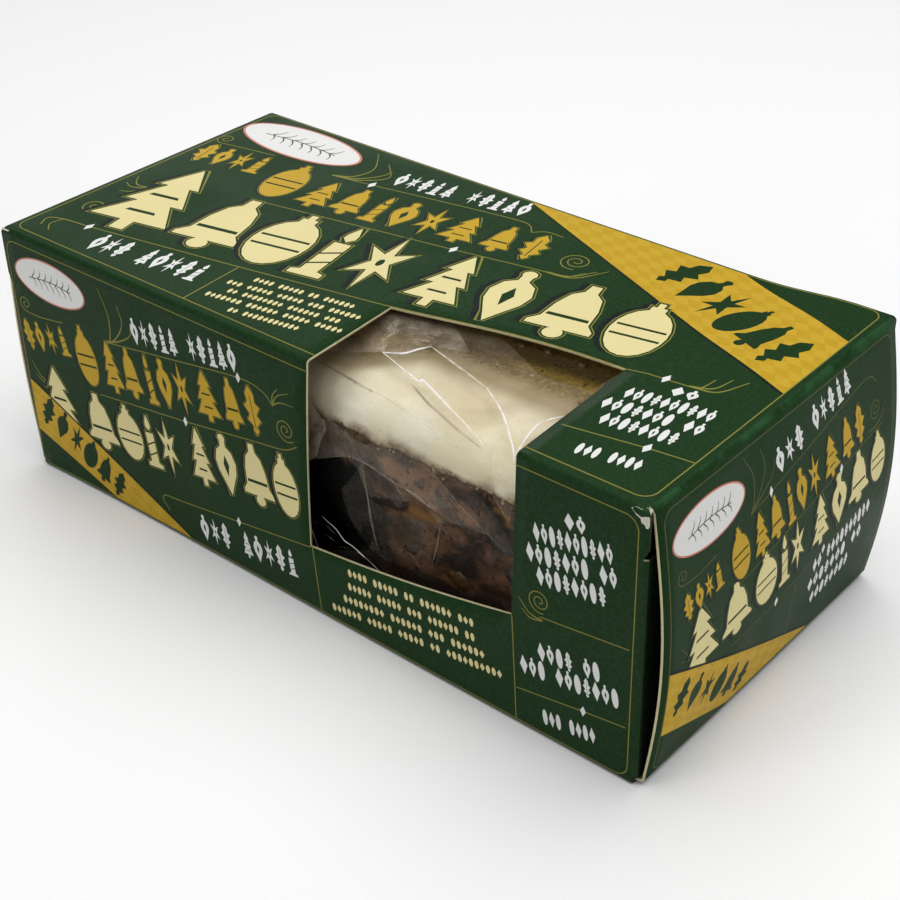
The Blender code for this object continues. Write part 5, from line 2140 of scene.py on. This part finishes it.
def build_film():
    flat, facets, stands = facet_sheet()
    slack = BVHTree.FromPolygons([raised(p, height) for p, height in zip(flat, stands)], facets)
    rng = random.Random(3)
    finish_of = [(rng.uniform(*HIDDEN_HAZE), rng.uniform(*HIDDEN_GLOSS)) for _ in facets]
    sheet, faces = bent_sheet(flat, facets)
    skin = bmesh.new()
    haze = skin.faces.layers.float.new("haze")
    gloss = skin.faces.layers.float.new("gloss")
    made = [skin.verts.new(film_point(p.x, p.y, stand_at(slack, p)[0])) for p in sheet]
    for corners in faces:
        face = skin.faces.new([made[i] for i in corners])
        middle = sum((sheet[i] for i in corners), Vector((0, 0))) / len(corners)
        seen = [finish for *finish, outline in FACETS if within(outline, middle)]
        face[haze], face[gloss] = seen[0] if seen else finish_of[stand_at(slack, middle)[1]]
    for end in (-1, 1):
        for face in add_film_end(skin, sheet, made, end):
            face[haze], face[gloss] = END_FINISH
    bmesh.ops.remove_doubles(skin, verts=skin.verts, dist=0.00001)
    bmesh.ops.recalc_face_normals(skin, faces=skin.faces)
    film = piece_of(skin_mesh("film_sheet", skin), [film_material()])
    film.data.set_sharp_from_angle(angle=SHARP_ANGLE)
    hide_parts("wrap")
    build_film_folds(slack)


def stand_at(slack, point):
    """How far the film stands out at a point of the sheet, and on which facet that is."""
    hit, _, facet, _ = slack.ray_cast(Vector((point.x, point.y, 1.0)), Vector((0, 0, -1)))
    return (hit.z, facet) if hit else (0.0, 0)


def build_film_folds(slack):
    """Pinched folds of the film, as thin ridges along the creases: pale ones are painted highlights, dark
    ones painted shade.
    """
    verts = []
    faces = []
    slots = []
    kinds = list(CREASE_KINDS)
    across = len(CREASE_SHARES)
    for kind, line in CREASES:
        width, height, *_ = CREASE_KINDS[kind]
        path = smooth_line(line, 8)
        for i, point in enumerate(path):
            along = (path[min(i + 1, len(path) - 1)] - path[max(i - 1, 0)]).normalized()
            side = Vector((-along.y, along.x))
            taper = math.sin(math.pi * mix(0.10, 0.90, i / (len(path) - 1)))
            for share in CREASE_SHARES:
                spot = (point + side * (share * width / 2 * taper)) * MM
                lift = height * MM * taper * math.sqrt(1 - share ** 2) + CREASE_CLEAR
                verts.append(film_point(spot.x, spot.y, stand_at(slack, spot)[0] + lift))
        start = len(verts) - across * len(path)
        for i in range(len(path) - 1):
            for k in range(across - 1):
                here = start + across * i + k
                faces.append((here, here + 1, here + across + 1, here + across))
                slots.append(kinds.index(kind))
    folds = [fold_material("film_fold_" + kind, *looks) for kind, (_, _, *looks) in CREASE_KINDS.items()]
    new_piece("film_folds", verts, faces, folds, slots)


def fold_material(name, colour, solidity, metallic):
    """A fold that shows in broken stretches."""
    shader = Shader(name)
    broken = shader.range(shader.noise(0.0024), 0.32, 0.52, solidity * 0.45, solidity)
    looks = dict(Base_Color=(*colour, 1.0), Roughness=0.28, Metallic=metallic)
    return shader.finish_clear(broken, (1.0, 1.0, 1.0), **looks)


def film_material():
    """Clear film whose facets are hazy and glossy by their own amounts."""
    shader = Shader("clear_film")
    crinkle = shader.noise(0.0040, detail=3.0, roughness=0.6)
    fresnel = shader.add("ShaderNodeFresnel", IOR=1.50).outputs["Fac"]
    clouded = shader.product(shader.amount("haze"), shader.range(crinkle, 0.30, 0.70, 0.5, 1.4))
    glossy = shader.product(fresnel, shader.amount("gloss"))
    looks = dict(Base_Color=(0.74, 0.62, 0.48, 1.0), Roughness=0.20, Metallic=0.3)
    looks["Normal"] = shader.bump(crinkle, 0.3, 0.0010)
    return shader.finish_clear(shader.sum(glossy, clouded), (0.97, 0.97, 0.96), **looks)


# Floor, light and camera

CAMERA_PLACE = (0.19534, -0.21724, 0.20775)
CAMERA_TURN = (56.710, 1.149, 40.301)
CAMERA_LENS = 68.12
FLOOR_REACH = 3.0
SKY_STRENGTH = 0.12
# Lamps, as name, place, size and power, which all face the same point
LAMPS = (
    ("soft_top", (0.02, 0.12, 0.90), 1.30, 10.0),
    ("soft_front", (-0.40, -0.90, 0.52), 0.50, 1.8),
    ("soft_back", (-1.15, 0.95, 0.30), 0.90, 2.5),
    ("soft_right", (0.90, -0.05, 0.45), 0.45, 1.5),
)
LAMP_AIM = (0.0, 0.0, 0.03)


def build_floor():
    mesh = bpy.data.meshes.new("floor")
    corners = [(x * FLOOR_REACH, y * FLOOR_REACH, 0) for x, y in ((-1, -1), (1, -1), (1, 1), (-1, 1))]
    mesh.from_pydata(corners, [], [(0, 1, 2, 3)])
    floor = link_object("floor", mesh)
    shader = Shader("floor_white")
    tone = shader.blend(shader.noise(0.25), (0.92, 0.92, 0.92), (0.94, 0.94, 0.94))
    mesh.materials.append(shader.finish(Base_Color=tone, Roughness=0.8, Specular_IOR_Level=0.2))


def add_lamp(name, place, size, power):
    lamp = bpy.data.lights.new(name, "AREA")
    lamp.shape = "DISK"
    lamp.size = size
    lamp.energy = power
    light = link_object(name, lamp)
    light.location = place
    light.rotation_euler = (Vector(place) - Vector(LAMP_AIM)).to_track_quat("Z", "Y").to_euler()


def build_stage():
    build_floor()
    scene = bpy.context.scene
    camera = link_object("camera", bpy.data.cameras.new("camera"))
    camera.location = CAMERA_PLACE
    camera.rotation_euler = Euler([math.radians(angle) for angle in CAMERA_TURN])
    camera.data.lens = CAMERA_LENS
    camera.data.sensor_width = 36.0
    camera.data.clip_start = 0.01
    scene.camera = camera
    world = bpy.data.worlds.new("studio")
    world.use_nodes = True
    sky = world.node_tree.nodes["Background"].inputs
    sky["Color"].default_value = (1.0, 1.0, 1.0, 1.0)
    sky["Strength"].default_value = SKY_STRENGTH
    scene.world = world
    for lamp in LAMPS:
        add_lamp(*lamp)
    scene.view_settings.view_transform = "Standard"


build_carton()
INKS = build_inks()
print_on("print_top", on_top, top_print(), INKS)
print_on("print_front", on_front, front_print(), INKS)
print_on("print_right_end", on_right_end, end_print(), INKS)
print_on("print_left_end", on_left_end, end_print(), INKS)
print_on("print_back", on_back, back_print(), INKS)
print_on("print_bottom", on_bottom, bottom_print(), INKS)
build_cake()
build_icing()
build_film()
build_stage()
